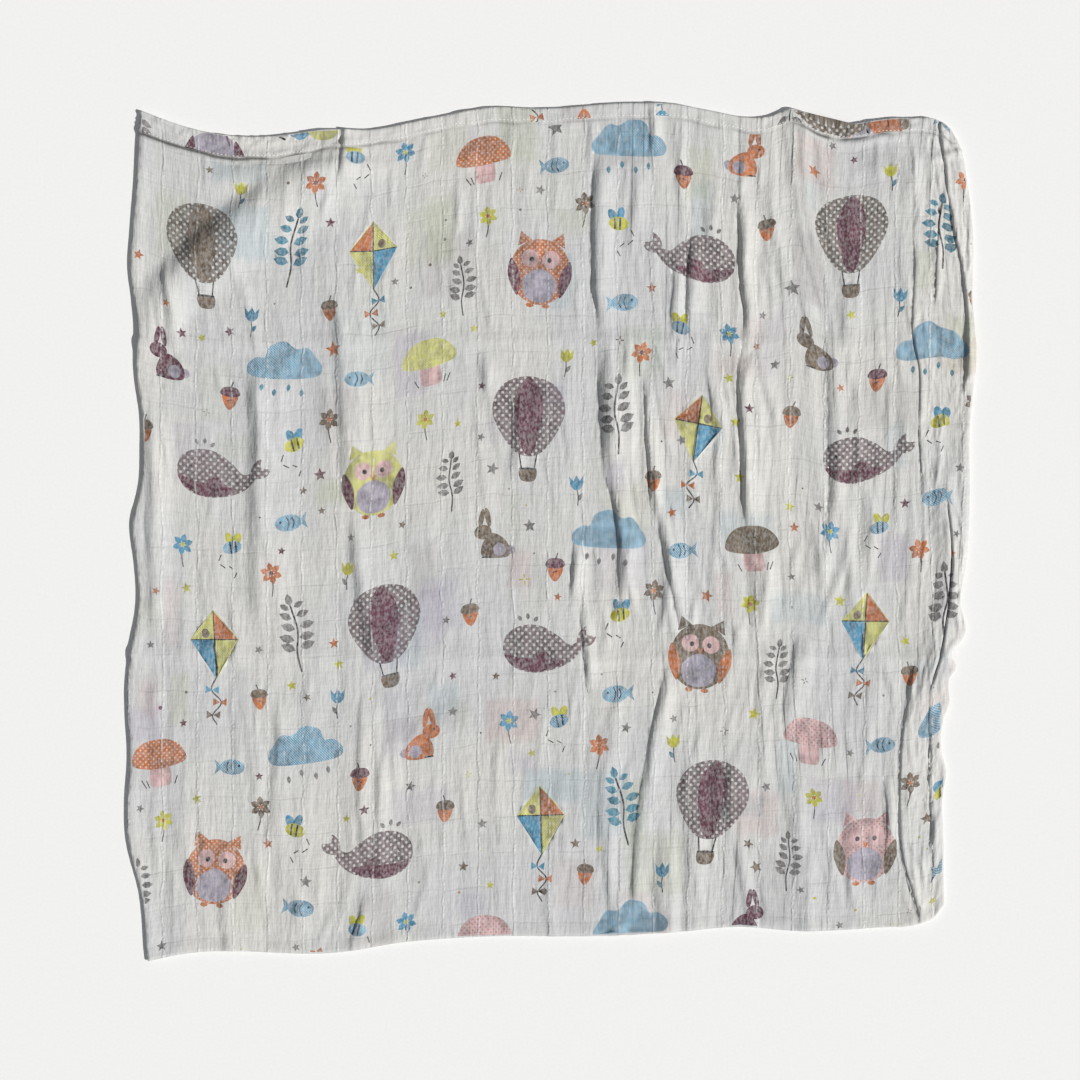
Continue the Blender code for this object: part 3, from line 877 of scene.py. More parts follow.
def print_outlines(table, cloth):
    """All inked outlines on the flat cloth, cut off at its edges. The far hem shows what it turned over."""
    motifs = repeated_motifs()
    motifs += small_marks(motifs)
    kept = []
    for shapes, x in motifs + hem_marks():
        hem = FAR_Y - far_hem(np.array(x), cloth)
        for ink, outline in shapes:
            left, right = table.edges(np.clip(outline[:, 1], NEAR_Y, FAR_Y))
            sides = ((0, 1, left.max() + PRINT_MARGIN), (0, -1, right.min() - PRINT_MARGIN))
            turned_over = outline * (1, -1) + (0, 2 * FAR_Y)
            face = ((1, 1, NEAR_Y + PRINT_MARGIN), (1, -1, hem - PRINT_MARGIN))
            band = ((1, 1, hem + PRINT_MARGIN), (1, -1, FAR_Y - 1.0))
            for shown, ends in ((outline, face), (turned_over, band)):
                for axis, side, limit in (*sides, *ends):
                    shown = cut_straight(shown, axis, side, limit)
                if len(shown) > 2 and abs(signed_area(shown)) > 1.0:
                    kept.append((ink, shown))
    return kept


def hem_marks():
    """Parts of motifs that only the turned hem shows, near its right end."""
    wing = blob(
        (308, 2), (318, 9), (332, 14), (352, 13), (372, 15), (392, 11), (400, 4), (390, -6), (330, -6)
    )
    petal = blob(
        (398, -4), (403, 9), (412, 19), (424, 17), (438, 21), (447, 12), (449, 2), (440, -6), (410, -6)
    )
    marks = [
        ("taupe white-dotted", wing), ("charcoal", stroke((396, 2), (401, 16), width=2.2)), ("orange", petal),
        ("taupe", blob((440, -2), (441, 10), (447, 14), (452, 8), (450, -2))),
        ("charcoal", stroke((424, -2), (426, 11), width=1.6)),
        ("plum", stroke((-404, -2), (-400, 12), width=2.6)),
        ("charcoal", stroke((-337, 2), (-330, 6), width=2.4)),
        ("lime hatched", blob((-300, -4), (-296, 8), (-282, 13), (-268, 9), (-262, -4))),
        ("sky", blob((-318, -4), (-317, 6), (-309, 9), (-303, 5), (-303, -4))),
    ]
    return [([(ink, outline + (0, FAR_Y))], outline[0, 0]) for ink, outline in marks]


def cut_straight(outline, axis, side, limit):
    """The part of an outline on one side of a straight line along an axis."""
    beyond = (outline[:, axis] - limit) * side
    if len(outline) == 0 or (beyond >= 0).all():
        return outline
    kept = []
    for k in range(len(outline)):
        here, after = beyond[k - 1], beyond[k]
        if here * after < 0:
            kept.append(outline[k - 1] + (outline[k] - outline[k - 1]) * here / (here - after))
        if after >= 0:
            kept.append(outline[k])
    return np.array(kept).reshape(-1, 2)


def signed_area(outline):
    """An outline's area, below 0 where it runs clockwise."""
    x, y = outline.T
    return 0.5 * np.sum(x * np.roll(y, -1) - np.roll(x, -1) * y)


# ---------------------------------------------------------------- mesh of the cloth


def edge_points(table, cloth):
    """The flat cloth's edge, counterclockwise from the near left corner."""
    across, along = FACE_STEP
    hem = cloth.top_hem / MM
    levels = np.arange(NEAR_Y, FAR_Y, along / 2)
    close = FAR_Y - hem * np.linspace(1.8, 0, 13)
    levels = np.unique(np.concatenate([levels[levels < FAR_Y - 2 * hem], close]))
    left, right = table.edges(levels)
    near = np.linspace(left[0], right[0], int((right[0] - left[0]) / across))
    far = np.linspace(left[-1], right[-1], int((right[-1] - left[-1]) / across))
    return np.concatenate([
        np.stack([near[:-1], np.full(len(near) - 1, NEAR_Y)], 1),
        np.stack([right[:-1], levels[:-1]], 1),
        np.stack([far[:0:-1], np.full(len(far) - 1, FAR_Y)], 1),
        np.stack([left[:0:-1], levels[:0:-1]], 1),
    ])


def lattice(table, step, fine_levels=(), first=0.0, last=7.0):
    """Points in staggered rows on the flat cloth, from one strip share to another, clear of its edge."""
    across, along = step
    levels = np.arange(NEAR_Y + along * 0.6, FAR_Y - along * 0.4, along)
    for low, high, gap in fine_levels:
        levels = levels[(levels < low - gap / 2) | (levels > high + gap / 2)]
        levels = np.concatenate([levels, np.arange(low, high, gap)])
    points = []
    for k, v in enumerate(np.sort(levels)):
        left, right = table.u_at(first, v), table.u_at(min(last, table.shares[-1]), v)
        u = np.arange(-FLAT_REACH + across * (k % 2) / 2, FLAT_REACH, across)
        u = u[(u > left + across * 0.6) & (u < right - across * 0.6)]
        points.append(np.stack([u, np.full_like(u, v)], 1))
    return np.concatenate(points)


def fold_lines(table, cloth):
    """Lines on the flat cloth along the hem's edge and along the foot, middle and crest of sharp folds."""
    left, right = table.edges(FAR_Y - 20)
    u = np.arange(left + EDGE_GAP, right - EDGE_GAP, FACE_STEP[0])
    lines = [np.stack([u, FAR_Y - far_hem(u, cloth) - below], 1) for below in HEM_LINES]
    for number, fold in enumerate(ALL_FOLDS):
        if is_soft(fold) and fold.height > 0:
            continue
        y = np.arange(max(fold.near, NEAR_Y) + 5, min(fold.far, FAR_Y) - 5, FACE_STEP[1])
        crest, steep = crest_line(number, y), steep_side(fold)
        for x in (*(crest - steep * share for share in STEEP_LINES), crest + CREST_LINE):
            u, v = table.flat_at(x, y)
            left, right = table.edges(v)
            inside = (u > left + EDGE_GAP) & (u < right - EDGE_GAP)
            inside &= (v > NEAR_Y + EDGE_GAP) & (v < FAR_Y - HEM_BAND)
            if inside.sum() > 2:
                lines.append(np.stack([u, v], 1)[inside])
    return lines


def clear_of(points, outlines, gap):
    """Those points that stand at least about a gap away from every outline's points."""
    cells = np.unique(np.concatenate([np.floor(o / gap).astype(int) for o in outlines]), axis=0)
    offset = 4096
    taken = set()
    for i in (-1, 0, 1):
        for j in (-1, 0, 1):
            taken.update(((cells[:, 0] + i + offset) * 2 * offset + cells[:, 1] + j + offset).tolist())
    keys = np.floor(points / gap).astype(int) + offset
    keys = keys[:, 0] * 2 * offset + keys[:, 1]
    return points[~np.isin(keys, np.fromiter(taken, int))]


ONLY_INSIDE = 1  # the kind of triangulation that fills the border and nothing outside it
MERGE_DISTANCE = 0.02


def triangulated(edge, points, outlines=(), lines=()):
    """Triangles over the flat cloth, with all outlines and lines in them.

    Gives their points, the triangles and the number of each edge point. The cloth is squeezed meanwhile, so
    that the triangles come out long in the direction of the folds.
    """
    parts = [edge, points, *lines, *outlines]
    starts = np.cumsum([0] + [len(p) for p in parts])
    vectors = [Vector(p) for p in (np.concatenate(parts) * (1, SQUEEZE)).tolist()]
    links = []
    for k in range(2, len(parts)):
        links += [(i, i + 1) for i in range(starts[k], starts[k + 1] - 1)]
        if k >= 2 + len(lines):
            links.append((starts[k + 1] - 1, starts[k]))
    border = [list(range(len(edge)))]
    result = geometry.delaunay_2d_cdt(vectors, links, border, ONLY_INSIDE, MERGE_DISTANCE)
    found, _, triangles, from_points, _, _ = result
    place = {}
    for k, sources in enumerate(from_points):
        for source in sources:
            if source < len(edge):
                place[source] = k
    flat = np.array([tuple(p) for p in found]) / (1, SQUEEZE)
    used, packed = np.unique(np.array(triangles), return_inverse=True)
    renumbered = np.zeros(len(flat), int)
    renumbered[used] = np.arange(len(used))
    return flat[used], packed.reshape(-1, 3), renumbered[[place[k] for k in range(len(edge))]]


def uppermost(outlines, places):
    """For each place the number of the last outline around it, counted from 1, or 0."""
    found = np.zeros(len(places), int)
    order = np.argsort(places[:, 0])
    sorted_u = places[order, 0]
    for number, outline in enumerate(outlines, 1):
        low, high = outline.min(0), outline.max(0)
        near = order[np.searchsorted(sorted_u, low[0]):np.searchsorted(sorted_u, high[0])]
        near = near[(places[near, 1] > low[1]) & (places[near, 1] < high[1])]
        u, v = places[near].T[:, :, None]
        start, end = outline[None], np.roll(outline, -1, 0)[None]
        crosses = (start[..., 1] > v) != (end[..., 1] > v)
        rise = np.where(crosses, end[..., 1] - start[..., 1], 1)
        at = start[..., 0] + (v - start[..., 1]) * (end[..., 0] - start[..., 0]) / rise
        found[near[(crosses & (u < at)).sum(1) % 2 == 1]] = number
    return found


def surface(flat, table):
    """Middle of the laid sheet at flat places, and what relief() needs beside it."""
    u, v = flat.T
    share = table.shares_at(u, v)
    row = (v - NEAR_Y) / (FAR_Y - NEAR_Y)
    x, y, width = flat_places(share, row)
    shift, height, groove = folded(x, y)
    left, right = table.edges(v)
    height += edge_lift(u, v, left, right)
    return np.stack([x + shift, y, height], 1), (u, v, share, width, left, right, groove)


def vertex_normals(points, faces):
    """Ways up from the sheet at its points, never quite level."""
    a, b, c = (points[faces[:, k]] for k in range(3))
    across = np.cross(b - a, c - a)
    normals = np.full_like(points, 1e-9)
    for k in range(3):
        for axis in range(3):
            normals[:, axis] += np.bincount(faces[:, k], across[:, axis], len(points))
    normals /= np.linalg.norm(normals, axis=1, keepdims=True)
    normals[:, 2] = np.maximum(normals[:, 2], LEAST_RISE)
    return normals / np.linalg.norm(normals, axis=1, keepdims=True)


TINTS = ((0.80, 0.45, 0.45), (0.55, 0.45, 0.72), (0.62, 0.70, 0.35), (0.35, 0.62, 0.75), (0.45, 0.40, 0.42))
TINTED_PLACES = 95


def show_through(u, v):
    """Soft tints where the print of the under layer shows through, as colours to multiply with."""
    random = np.random.default_rng(17)
    colour = np.ones((len(u), 3))
    for _ in range(TINTED_PLACES):
        x, y = random.uniform(-520, 560), random.uniform(NEAR_Y, FAR_Y)
        wide, high = random.uniform(9, 38), random.uniform(12, 44)
        tint = np.array(TINTS[random.integers(len(TINTS))])
        strength = random.uniform(0.10, 0.26)
        ragged = 4 * soft_noise(u / 4 + x, v / 13, 61)
        inside = ease(np.abs(u - x) + ragged, wide + 3, wide - 5)
        inside = inside * ease(np.abs(v - y) + ragged, high + 3, high - 5)
        colour *= 1 - (strength * inside)[:, None] * (1 - tint)
    return colour


def seam_shade(u, v, cloth):
    """Painted shade of the gap under the turned-in far hem: how much it darkens the cloth's colour."""
    from_seam = FAR_Y - v - far_hem(u, cloth) - 0.6
    along = 0.35 + 0.9 * ease(u, -180, -260) + 0.9 * bump(u - 375, 90, 80)
    along *= 0.8 + 0.5 * soft_noise(u / 15, u * 0, 71)
    wide = 1.6 + 0.8 * ease(u, -240, -330) + 0.6 * soft_noise(u / 9, u * 0, 72)
    return np.clip(along, 0, 1) * np.exp(-(from_seam / wide) ** 2)


def printed_face(table, cloth, edge, outlines):
    """Upper side of the blanket: flat and laid points, triangles, edge points and each triangle's outline."""
    lines = fold_lines(table, cloth)
    fine = [(FAR_Y - HEM_BAND, FAR_Y - 1, HEM_STEP)]
    border = CRUMPLED_FROM[0]
    points = [lattice(table, FACE_STEP, fine, last=border), lattice(table, STRIP_STEP, fine, first=border)]
    points = clear_of(np.concatenate(points), outlines + lines, OUTLINE_CLEARANCE)
    flat, faces, at_edge = triangulated(edge, points, outlines, lines)
    middle, places = surface(flat, table)
    half = cloth.thickness / MM / 2
    laid = middle + (0, 0, half) + vertex_normals(middle, faces) * half
    laid[:, 2] += relief(*places, cloth)
    return flat, laid, faces, at_edge, uppermost(outlines, flat[faces].mean(1))


def plain_back(table, cloth, edge):
    """Lower side of the blanket: flat and laid points, triangles and edge points."""
    flat, faces, at_edge = triangulated(edge, lattice(table, BACK_STEP))
    middle, _ = surface(flat, table)
    half = cloth.thickness / MM / 2
    laid = middle + (0, 0, half) - vertex_normals(middle, faces) * half
    laid[:, 2] = np.maximum(laid[:, 2], 0)
    return flat, laid, faces[:, ::-1], at_edge


def rolled_edge(top_ring, low_ring, cloth):
    """A ring of points that stands out a little between the edges of the two sides."""
    way = np.roll(top_ring, -1, 0) - np.roll(top_ring, 1, 0)
    outward = np.stack([way[:, 1], -way[:, 0]], 1)
    outward /= np.linalg.norm(outward, axis=1, keepdims=True)
    ring = (top_ring + low_ring) / 2
    ring[:, :2] += outward * EDGE_BULGE * cloth.thickness / MM
    return ring


def band(upper, lower):
    """Faces between two rings of points, given by their numbers."""
    upper_next, lower_next = np.roll(upper, -1), np.roll(lower, -1)
    return np.stack([upper_next, upper, lower, lower_next], 1).tolist()


def set_attribute(mesh, name, kind, domain, values):
    """Stores one value or colour for each point or face of a mesh."""
    key = "color" if kind == "FLOAT_COLOR" else "value"
    mesh.attributes.new(name, kind, domain).data.foreach_set(key, np.ravel(values))


def make_cloth(cloth, inks):
    """The blanket as one closed mesh: printed face, plain back and the rolled edge between them."""
    table = length_table()
    edge = edge_points(table, cloth)
    prints = print_outlines(table, cloth)
    outlines = [outline for _, outline in prints]
    flat, upper, faces, at_edge, on_top = printed_face(table, cloth, edge, outlines)
    back_flat, lower, back_faces, back_edge = plain_back(table, cloth, edge)
    ring = rolled_edge(upper[at_edge], lower[back_edge], cloth)

    points = np.concatenate([upper, lower, ring])
    flat_all = np.concatenate([flat, back_flat, edge])
    ring_numbers = np.arange(len(edge)) + len(upper) + len(lower)
    all_faces = faces.tolist() + (back_faces + len(upper)).tolist()
    all_faces += band(at_edge, ring_numbers) + band(ring_numbers, back_edge + len(upper))
    points[:, :2] -= MIDDLE
    mesh = bpy.data.meshes.new("swaddle_blanket")
    mesh.from_pydata((points * MM).tolist(), [], all_faces)
    mesh.shade_smooth()

    looks = [((0, 0, 0, 0), PLAIN)] + [ink_colour(name, inks) for name, _ in prints]
    colours, patterns = np.zeros((len(all_faces), 4)), np.zeros(len(all_faces))
    colours[:len(faces)] = np.array([colour for colour, _ in looks])[on_top]
    patterns[:len(faces)] = np.array([code for _, code in looks])[on_top]
    tints = np.ones((len(points), 4))
    tints[:, :3] = show_through(*flat_all.T)
    set_attribute(mesh, "ink", "FLOAT_COLOR", "FACE", colours)
    set_attribute(mesh, "pattern", "FLOAT", "FACE", patterns)
    set_attribute(mesh, "show_through", "FLOAT_COLOR", "POINT", tints)
    # The "seam" attribute holds painted shade: the gap under the far hem, drawn darker in the cloth's colour.
    set_attribute(mesh, "seam", "FLOAT", "POINT", seam_shade(*flat_all.T, cloth))
    loops = np.empty(len(mesh.loops), int)
    mesh.loops.foreach_get("vertex_index", loops)
    mesh.uv_layers.new(name="cloth").uv.foreach_set("vector", (flat_all[loops] * MM).ravel())
    mesh.materials.append(muslin_material(cloth))
    return new_object("swaddle_blanket", mesh)


def ink_colour(name, inks):
    """Colour, strength and pattern of an ink named like 'mauve white-dotted'."""
    colour, _, pattern = name.partition(" ")
    return (*getattr(inks, colour), 1.0), PATTERNS.get(pattern, PLAIN)


def new_object(name, data):
    """An object in the scene around a mesh, a light or a camera."""
    piece = bpy.data.objects.new(name, data)
    bpy.context.scene.collection.objects.link(piece)
    return piece


# ---------------------------------------------------------------- nodes


class Value:
    """What a node's output gives. + - * and / on it make the Math nodes that work it out."""

    def __init__(self, socket):
        self.socket = socket
        self.tree = socket.id_data

    def __add__(self, other):
        return maths("ADD", self, other)

    def __sub__(self, other):
        return maths("SUBTRACT", self, other)

    def __rsub__(self, other):
        return maths("SUBTRACT", other, self)

    def __mul__(self, other):
        return maths("MULTIPLY", self, other)

    def __truediv__(self, other):
        return maths("DIVIDE", self, other)


def put(socket, value):
    """Links an input to a value from other nodes, or sets it."""
    if isinstance(value, Value):
        value.tree.links.new(value.socket, socket)
    else:
        socket.default_value = value


def add_node(tree, kind, inputs=None, **settings):
    """A new node with its settings, and with its inputs filled in by name or number."""
    node = tree.nodes.new(kind)
    for name, setting in settings.items():
        setattr(node, name, setting)
    for key, value in (inputs or {}).items():
        put(node.inputs[key], value)
    return node


def given_by(node):
    """All that a node gives, by name."""
    return {socket.name: Value(socket) for socket in node.outputs}


def tree_of(values):
    return next(value.tree for value in values if isinstance(value, Value))


def maths(operation, *values):
    node = add_node(tree_of(values), "ShaderNodeMath", dict(enumerate(values)), operation=operation)
    return Value(node.outputs[0])


def vector_maths(operation, *values, scale=None):
    """The same for places and lengths."""
    inputs = dict(enumerate(values))
    if scale is not None:
        inputs["Scale"] = scale
    node = add_node(tree_of(values), "ShaderNodeVectorMath", inputs, operation=operation)
    return Value(node.outputs["Value" if operation == "LENGTH" else "Vector"])


def ramp(value, low, high, out_low=0.0, out_high=1.0):
    """A smooth change from out_low to out_high, while a value goes from low to high."""
    inputs = {"Value": value, "From Min": low, "From Max": high, "To Min": out_low, "To Max": out_high}
    node = add_node(value.tree, "ShaderNodeMapRange", inputs, interpolation_type="SMOOTHSTEP")
    return Value(node.outputs["Result"])


def mixed(share, first, second, blend="MIX"):
    """The first colour with a share of the second, blended in."""
    tree = tree_of((share, first, second))
    node = add_node(tree, "ShaderNodeMix", {"Factor": share}, data_type="RGBA", blend_type=blend)
    for socket, colour in zip([s for s in node.inputs if s.type == "RGBA"], (first, second)):
        put(socket, colour)
    return Value(next(s for s in node.outputs if s.type == "RGBA"))


def dimmed(colour, value):
    """A colour with each channel multiplied by a value."""
    grey = add_node(value.tree, "ShaderNodeCombineXYZ", dict(enumerate([value] * 3)))
    return mixed(1.0, colour, Value(grey.outputs[0]), "MULTIPLY")


def along_axes(place):
    """x, y and z of a place."""
    node = add_node(place.tree, "ShaderNodeSeparateXYZ", {0: place})
    return [Value(socket) for socket in node.outputs]


def noise(place, across, along, detail=2.0, offset=0.0):
    """Noise with its own scale across and along the cloth, in waves a metre."""
    stretched = vector_maths("MULTIPLY", place, (across, along, 1.0))
    moved = vector_maths("ADD", stretched, (offset, offset * 1.7, offset * 0.3))
    node = add_node(place.tree, "ShaderNodeTexNoise", {"Vector": moved, "Scale": 1.0, "Detail": detail})
    return Value(node.outputs["Fac"])


def new_group(name, sizes, results):
    """A shader node group that reads a place on the cloth and some sizes: its inputs and outputs by name."""
    tree = bpy.data.node_groups.new(name, "ShaderNodeTree")
    tree.interface.new_socket("Cloth Place", in_out="INPUT", socket_type="NodeSocketVector")
    for label, size in sizes.items():
        socket = tree.interface.new_socket(label, in_out="INPUT", socket_type="NodeSocketFloat")
        socket.default_value = size
    for label in results:
        tree.interface.new_socket(label, in_out="OUTPUT", socket_type="NodeSocketFloat")
    return tree, given_by(tree.nodes.new("NodeGroupInput")), tree.nodes.new("NodeGroupOutput").inputs


def use_group(tree, group, **inputs):
    """What a group makes of its inputs. Their names are written with _ for a space."""
    node = add_node(tree, "ShaderNodeGroup", node_tree=group)
    for name, value in inputs.items():
        put(node.inputs[name.replace("_", " ")], value)
    return given_by(node)


def attribute(tree, name):
    """A value or colour stored in the mesh."""
    return given_by(add_node(tree, "ShaderNodeAttribute", attribute_name=name))


# ---------------------------------------------------------------- materials

THREAD_SIZE = 0.0009  # metres, as in the other sizes of materials


def screen(red, green, blue):
    """Linear colour of one given in the 0 to 255 values of a screen."""
    share = np.array([red, green, blue]) / 255
    linear = np.where(share <= 0.04045, share / 12.92, ((share + 0.055) / 1.055) ** 2.4)
    return tuple(float(round(k, 4)) for k in linear)


def thread_group():
    """Threads of the gauze: how light each place is, and how high."""
    tree, given, made = new_group("gauze_threads", {"Thread Size": THREAD_SIZE}, ("Shade", "Height"))
    finer = maths("DIVIDE", THREAD_SIZE, given["Thread Size"])
    place = vector_maths("SCALE", given["Cloth Place"], scale=finer)
    upright = noise(place, 900, 45, detail=3.0)
    level = noise(place, 55, 800, detail=3.0, offset=4.0) * 0.6
    slubs = noise(place, 30, 330, offset=9.0)
    total = upright + level + slubs
    put(made["Shade"], ramp(total, 0.9, 1.7))
    put(made["Height"], total * 0.00016)
    return tree


def pleat_lines(place, pitch, offset, low, high):
    """Narrow sharp-edged pleats along the cloth, in patches."""
    sway = noise(place, 7, 2.5, detail=1.0, offset=offset) * 0.05
    part = maths("FRACT", (along_axes(place)[0] + sway) / pitch)
    profile = ramp(part, 0.0, 0.15) * ramp(part, 0.17, 1.0, 1.0, 0.0)
    return profile * ramp(noise(place, 22, 6.5, offset=offset + 20), low, high)


def crinkle_group():
    """Crinkle too small for the mesh: its height. There are more sharp pleats towards the right side."""
    sizes = {"Depth": 0.0009, "Pleat Depth": 0.0006}
    tree, given, made = new_group("gauze_crinkle", sizes, ("Height",))
    place = given["Cloth Place"]
    fine = noise(place, 210, 40, offset=2.0)
    wide = noise(place, 95, 14, offset=6.0)
    short = noise(place, 150, 110, offset=8.0)
    close = pleat_lines(place, 0.016, 3.0, 0.46, 0.66)
    loose = pleat_lines(place, 0.029, 13.0, 0.44, 0.62)
    to_the_right = ramp(along_axes(place)[0], -0.02, 0.09, 0.3, 1.0)
    pleats = (close + loose) * to_the_right * given["Pleat Depth"]
    put(made["Height"], (fine + wide + short * 0.8) * given["Depth"] + pleats)
    return tree


def tack_group():
    """The grid in which the two layers are tacked together: its light threads, its dark lines, which are
    painted shade in the creases along the tacks and beside the raised threads, and its height.
    """
    tree, given, made = new_group("tack_grid", {"Pitch": 0.044}, ("Light", "Dark", "Height"))
    place, pitch = given["Cloth Place"], given["Pitch"]
    away = []
    for axis, scales in enumerate(((3, 25), (25, 3))):
        wobble = (noise(place, *scales, offset=3.0 + axis) - 0.5) * 0.012
        turns = (along_axes(place)[axis] + wobble) / pitch
        away.append((maths("FRACT", turns + 0.5) - 0.5) * pitch)
    upright = ramp(maths("ABSOLUTE", away[0]), 0.0019, 0.0004)
    beads = ramp(noise(place, 40, 260, detail=1.0, offset=5.0), 0.36, 0.62)
    beside = ramp(maths("ABSOLUTE", away[0] + 0.0022), 0.0018, 0.0004)
    level = ramp(maths("ABSOLUTE", away[1]), 0.0016, 0.0003)
    broken = ramp(noise(place, 22, 60, offset=7.0), 0.38, 0.6)
    light = upright * beads
    # Painted shade: dark crease lines along the level tacks, and a painted shadow beside each upright thread,
    # on its side away from the key light.
    dark = maths("MAXIMUM", level * broken, beside * 0.5)
    put(made["Light"], light)
    put(made["Dark"], dark)
    put(made["Height"], light * 0.00035 - dark * 0.0002)
    return tree


BIG_DOTS = (0.0094, 0.0017)  # pitch and radius
SMALL_DOTS = (0.0066, 0.0010)
DOT_BLUR = 0.0003
HATCH_PITCH, CROSS_HATCH_PITCH = 0.0032, 0.0036


def dots(place, pitch, radius):
    """1 inside the dots of a staggered grid."""
    lengths = []
    for offset in (0.0, 0.5):
        cell = vector_maths("ADD", vector_maths("SCALE", place, scale=1 / pitch), (offset, offset, 0.0))
        middle = vector_maths("SUBTRACT", vector_maths("FRACTION", cell), (0.5, 0.5, 0.0))
        lengths.append(vector_maths("LENGTH", vector_maths("MULTIPLY", middle, (1.0, 1.0, 0.0))))
    return ramp(maths("MINIMUM", *lengths), (radius + DOT_BLUR) / pitch, (radius - DOT_BLUR) / pitch)


def pattern_group():
    """What the printed patterns leave light or make dark, from the pattern's number."""
    tree, given, made = new_group("print_patterns", {"Pattern": 0.0}, ("Bare", "Pale", "Dark"))
    place = given["Cloth Place"]

    def only(code):
        return maths("COMPARE", given["Pattern"], float(code), 0.3)

    x, y, _ = along_axes(place)
    slant, counter = (x + y) / HATCH_PITCH, (x - y) / CROSS_HATCH_PITCH
    lines = [ramp(maths("FRACT", way), 0.35, 0.65) for way in (slant, counter)]
    hatch = lines[0] * (lines[1] * 0.5 + 0.5)
    small = dots(place, *SMALL_DOTS)
    put(made["Bare"], dots(place, *BIG_DOTS) * only(WHITE_DOTS))
    put(made["Pale"], hatch * only(HATCHED) + small * only(LIGHT_DOTS))
    put(made["Dark"], small * only(DARK_DOTS))
    return tree


def new_material(name, roughness):
    """A material with its node tree and its shader."""
    material = bpy.data.materials.new(name)
    material.use_nodes = True
    shader = material.node_tree.nodes["Principled BSDF"]
    shader.inputs["Roughness"].default_value = roughness
    return material, material.node_tree, shader


PALE_INK, DARK_INK = (0.80, 0.82, 0.80, 1), (0.16, 0.09, 0.11, 1)  # of hatching and small dots
PALE_SHARE, DARK_SHARE = 0.58, 0.6  # how much of them lies over the ink
DOT_WEAR = 0.85  # share of the ink that a white dot leaves out
TACK_WEAR = 0.45  # and that a tack's thread does
TACK_PAINTED_SHADE, TACK_LIGHT, SEAM_PAINTED_SHADE = 0.07, 0.12, 0.85  # how much these change the cloth's lightness; the dark tack lines and the line under the far hem are painted shade


def muslin_material(cloth):
    """Printed double muslin: cloth, ink, threads, tacks and crinkle. The dark tack lines and the line under
    the far hem are painted shade.
    """
    material, tree, shader = new_material("printed_muslin", cloth.roughness)
    place = Value(add_node(tree, "ShaderNodeUVMap", uv_map="cloth").outputs[0])
    threads = use_group(tree, thread_group(), Cloth_Place=place)
    crinkle = use_group(tree, crinkle_group(), Cloth_Place=place)
    tacks = use_group(tree, tack_group(), Cloth_Place=place, Pitch=cloth.tack_pitch)
    pattern = attribute(tree, "pattern")["Fac"]
    patterns = use_group(tree, pattern_group(), Cloth_Place=place, Pattern=pattern)
    ink = attribute(tree, "ink")

    cooler = ramp(noise(place, 6, 5, offset=1.0), 0.35, 0.65)
    bare = mixed(cooler, (*cloth.colour, 1), (*cloth.cool_colour, 1))
    bare = mixed(1.0, bare, attribute(tree, "show_through")["Color"], "MULTIPLY")

    dyed = mixed(patterns["Pale"] * PALE_SHARE, ink["Color"], PALE_INK)
    dyed = mixed(patterns["Dark"] * DARK_SHARE, dyed, DARK_INK)
    blots = noise(place, 75, 50, detail=4.0, offset=15.0)
    dyed = dimmed(dyed, ramp(blots, 0.3, 0.7, 0.6, 1.14))
    worn = ramp(noise(place, 360, 220, detail=4.0, offset=11.0), 0.32, 0.66, 0.68, 1.0)
    cover = ink["Alpha"] * worn * (1.0 - patterns["Bare"] * DOT_WEAR) * (1.0 - tacks["Light"] * TACK_WEAR)

    light = ramp(threads["Shade"], 0.0, 1.0, 0.94, 1.03)
    # The tacks' Dark output is painted shade of their creases and of the raised threads.
    light = light * (1.0 - tacks["Dark"] * TACK_PAINTED_SHADE) * (tacks["Light"] * TACK_LIGHT + 1.0)
    # Painted shade of the gap under the far hem, read from the "seam" attribute.
    light = light * (1.0 - attribute(tree, "seam")["Fac"] * SEAM_PAINTED_SHADE)
    put(shader.inputs["Base Color"], dimmed(mixed(cover, bare, dyed), light))

    height = threads["Height"] + crinkle["Height"] + tacks["Height"]
    raised = add_node(tree, "ShaderNodeBump", {"Distance": 1.0, "Strength": 1.0, "Height": height})
    put(shader.inputs["Normal"], Value(raised.outputs[0]))
    shader.inputs["Specular IOR Level"].default_value = 0.2
    shader.inputs["Sheen Weight"].default_value = 0.15
    shader.inputs["Sheen Roughness"].default_value = 0.5
    return material


def plain_material(name, colour, roughness):
    """A material whose colour varies a little from place to place."""
    material, tree, shader = new_material(name, roughness)
    place = given_by(add_node(tree, "ShaderNodeTexCoord"))["Object"]
    change = ramp(noise(place, 300, 300), 0.3, 0.7, 0.0, 0.12)
    darker = tuple(channel * 0.8 for channel in colour)
    put(shader.inputs["Base Color"], mixed(change, (*colour, 1), (*darker, 1)))
    return material


# ---------------------------------------------------------------- stitches

STITCH_INSET = 3.2  # from the hem's edge to its seam
STITCH_SPREAD = (0.85, 1.1)  # how the stitches' lengths vary
STITCH_SEED = 3


def stitch_path(table, cloth):
    """Places along the seam of the far hem, on the cloth."""
    left, right = table.edges(FAR_Y)
    u = np.arange(left + 6, right - 8, 2.0)
    v = FAR_Y - far_hem(u, cloth) + STITCH_INSET + 0.5 * soft_noise(u / 40, u * 0, 81)
    middle, places = surface(np.stack([u, v], 1), table)
    middle[:, 2] += cloth.thickness / MM + relief(*places, cloth)
    middle[:, :2] -= MIDDLE
    return middle * MM


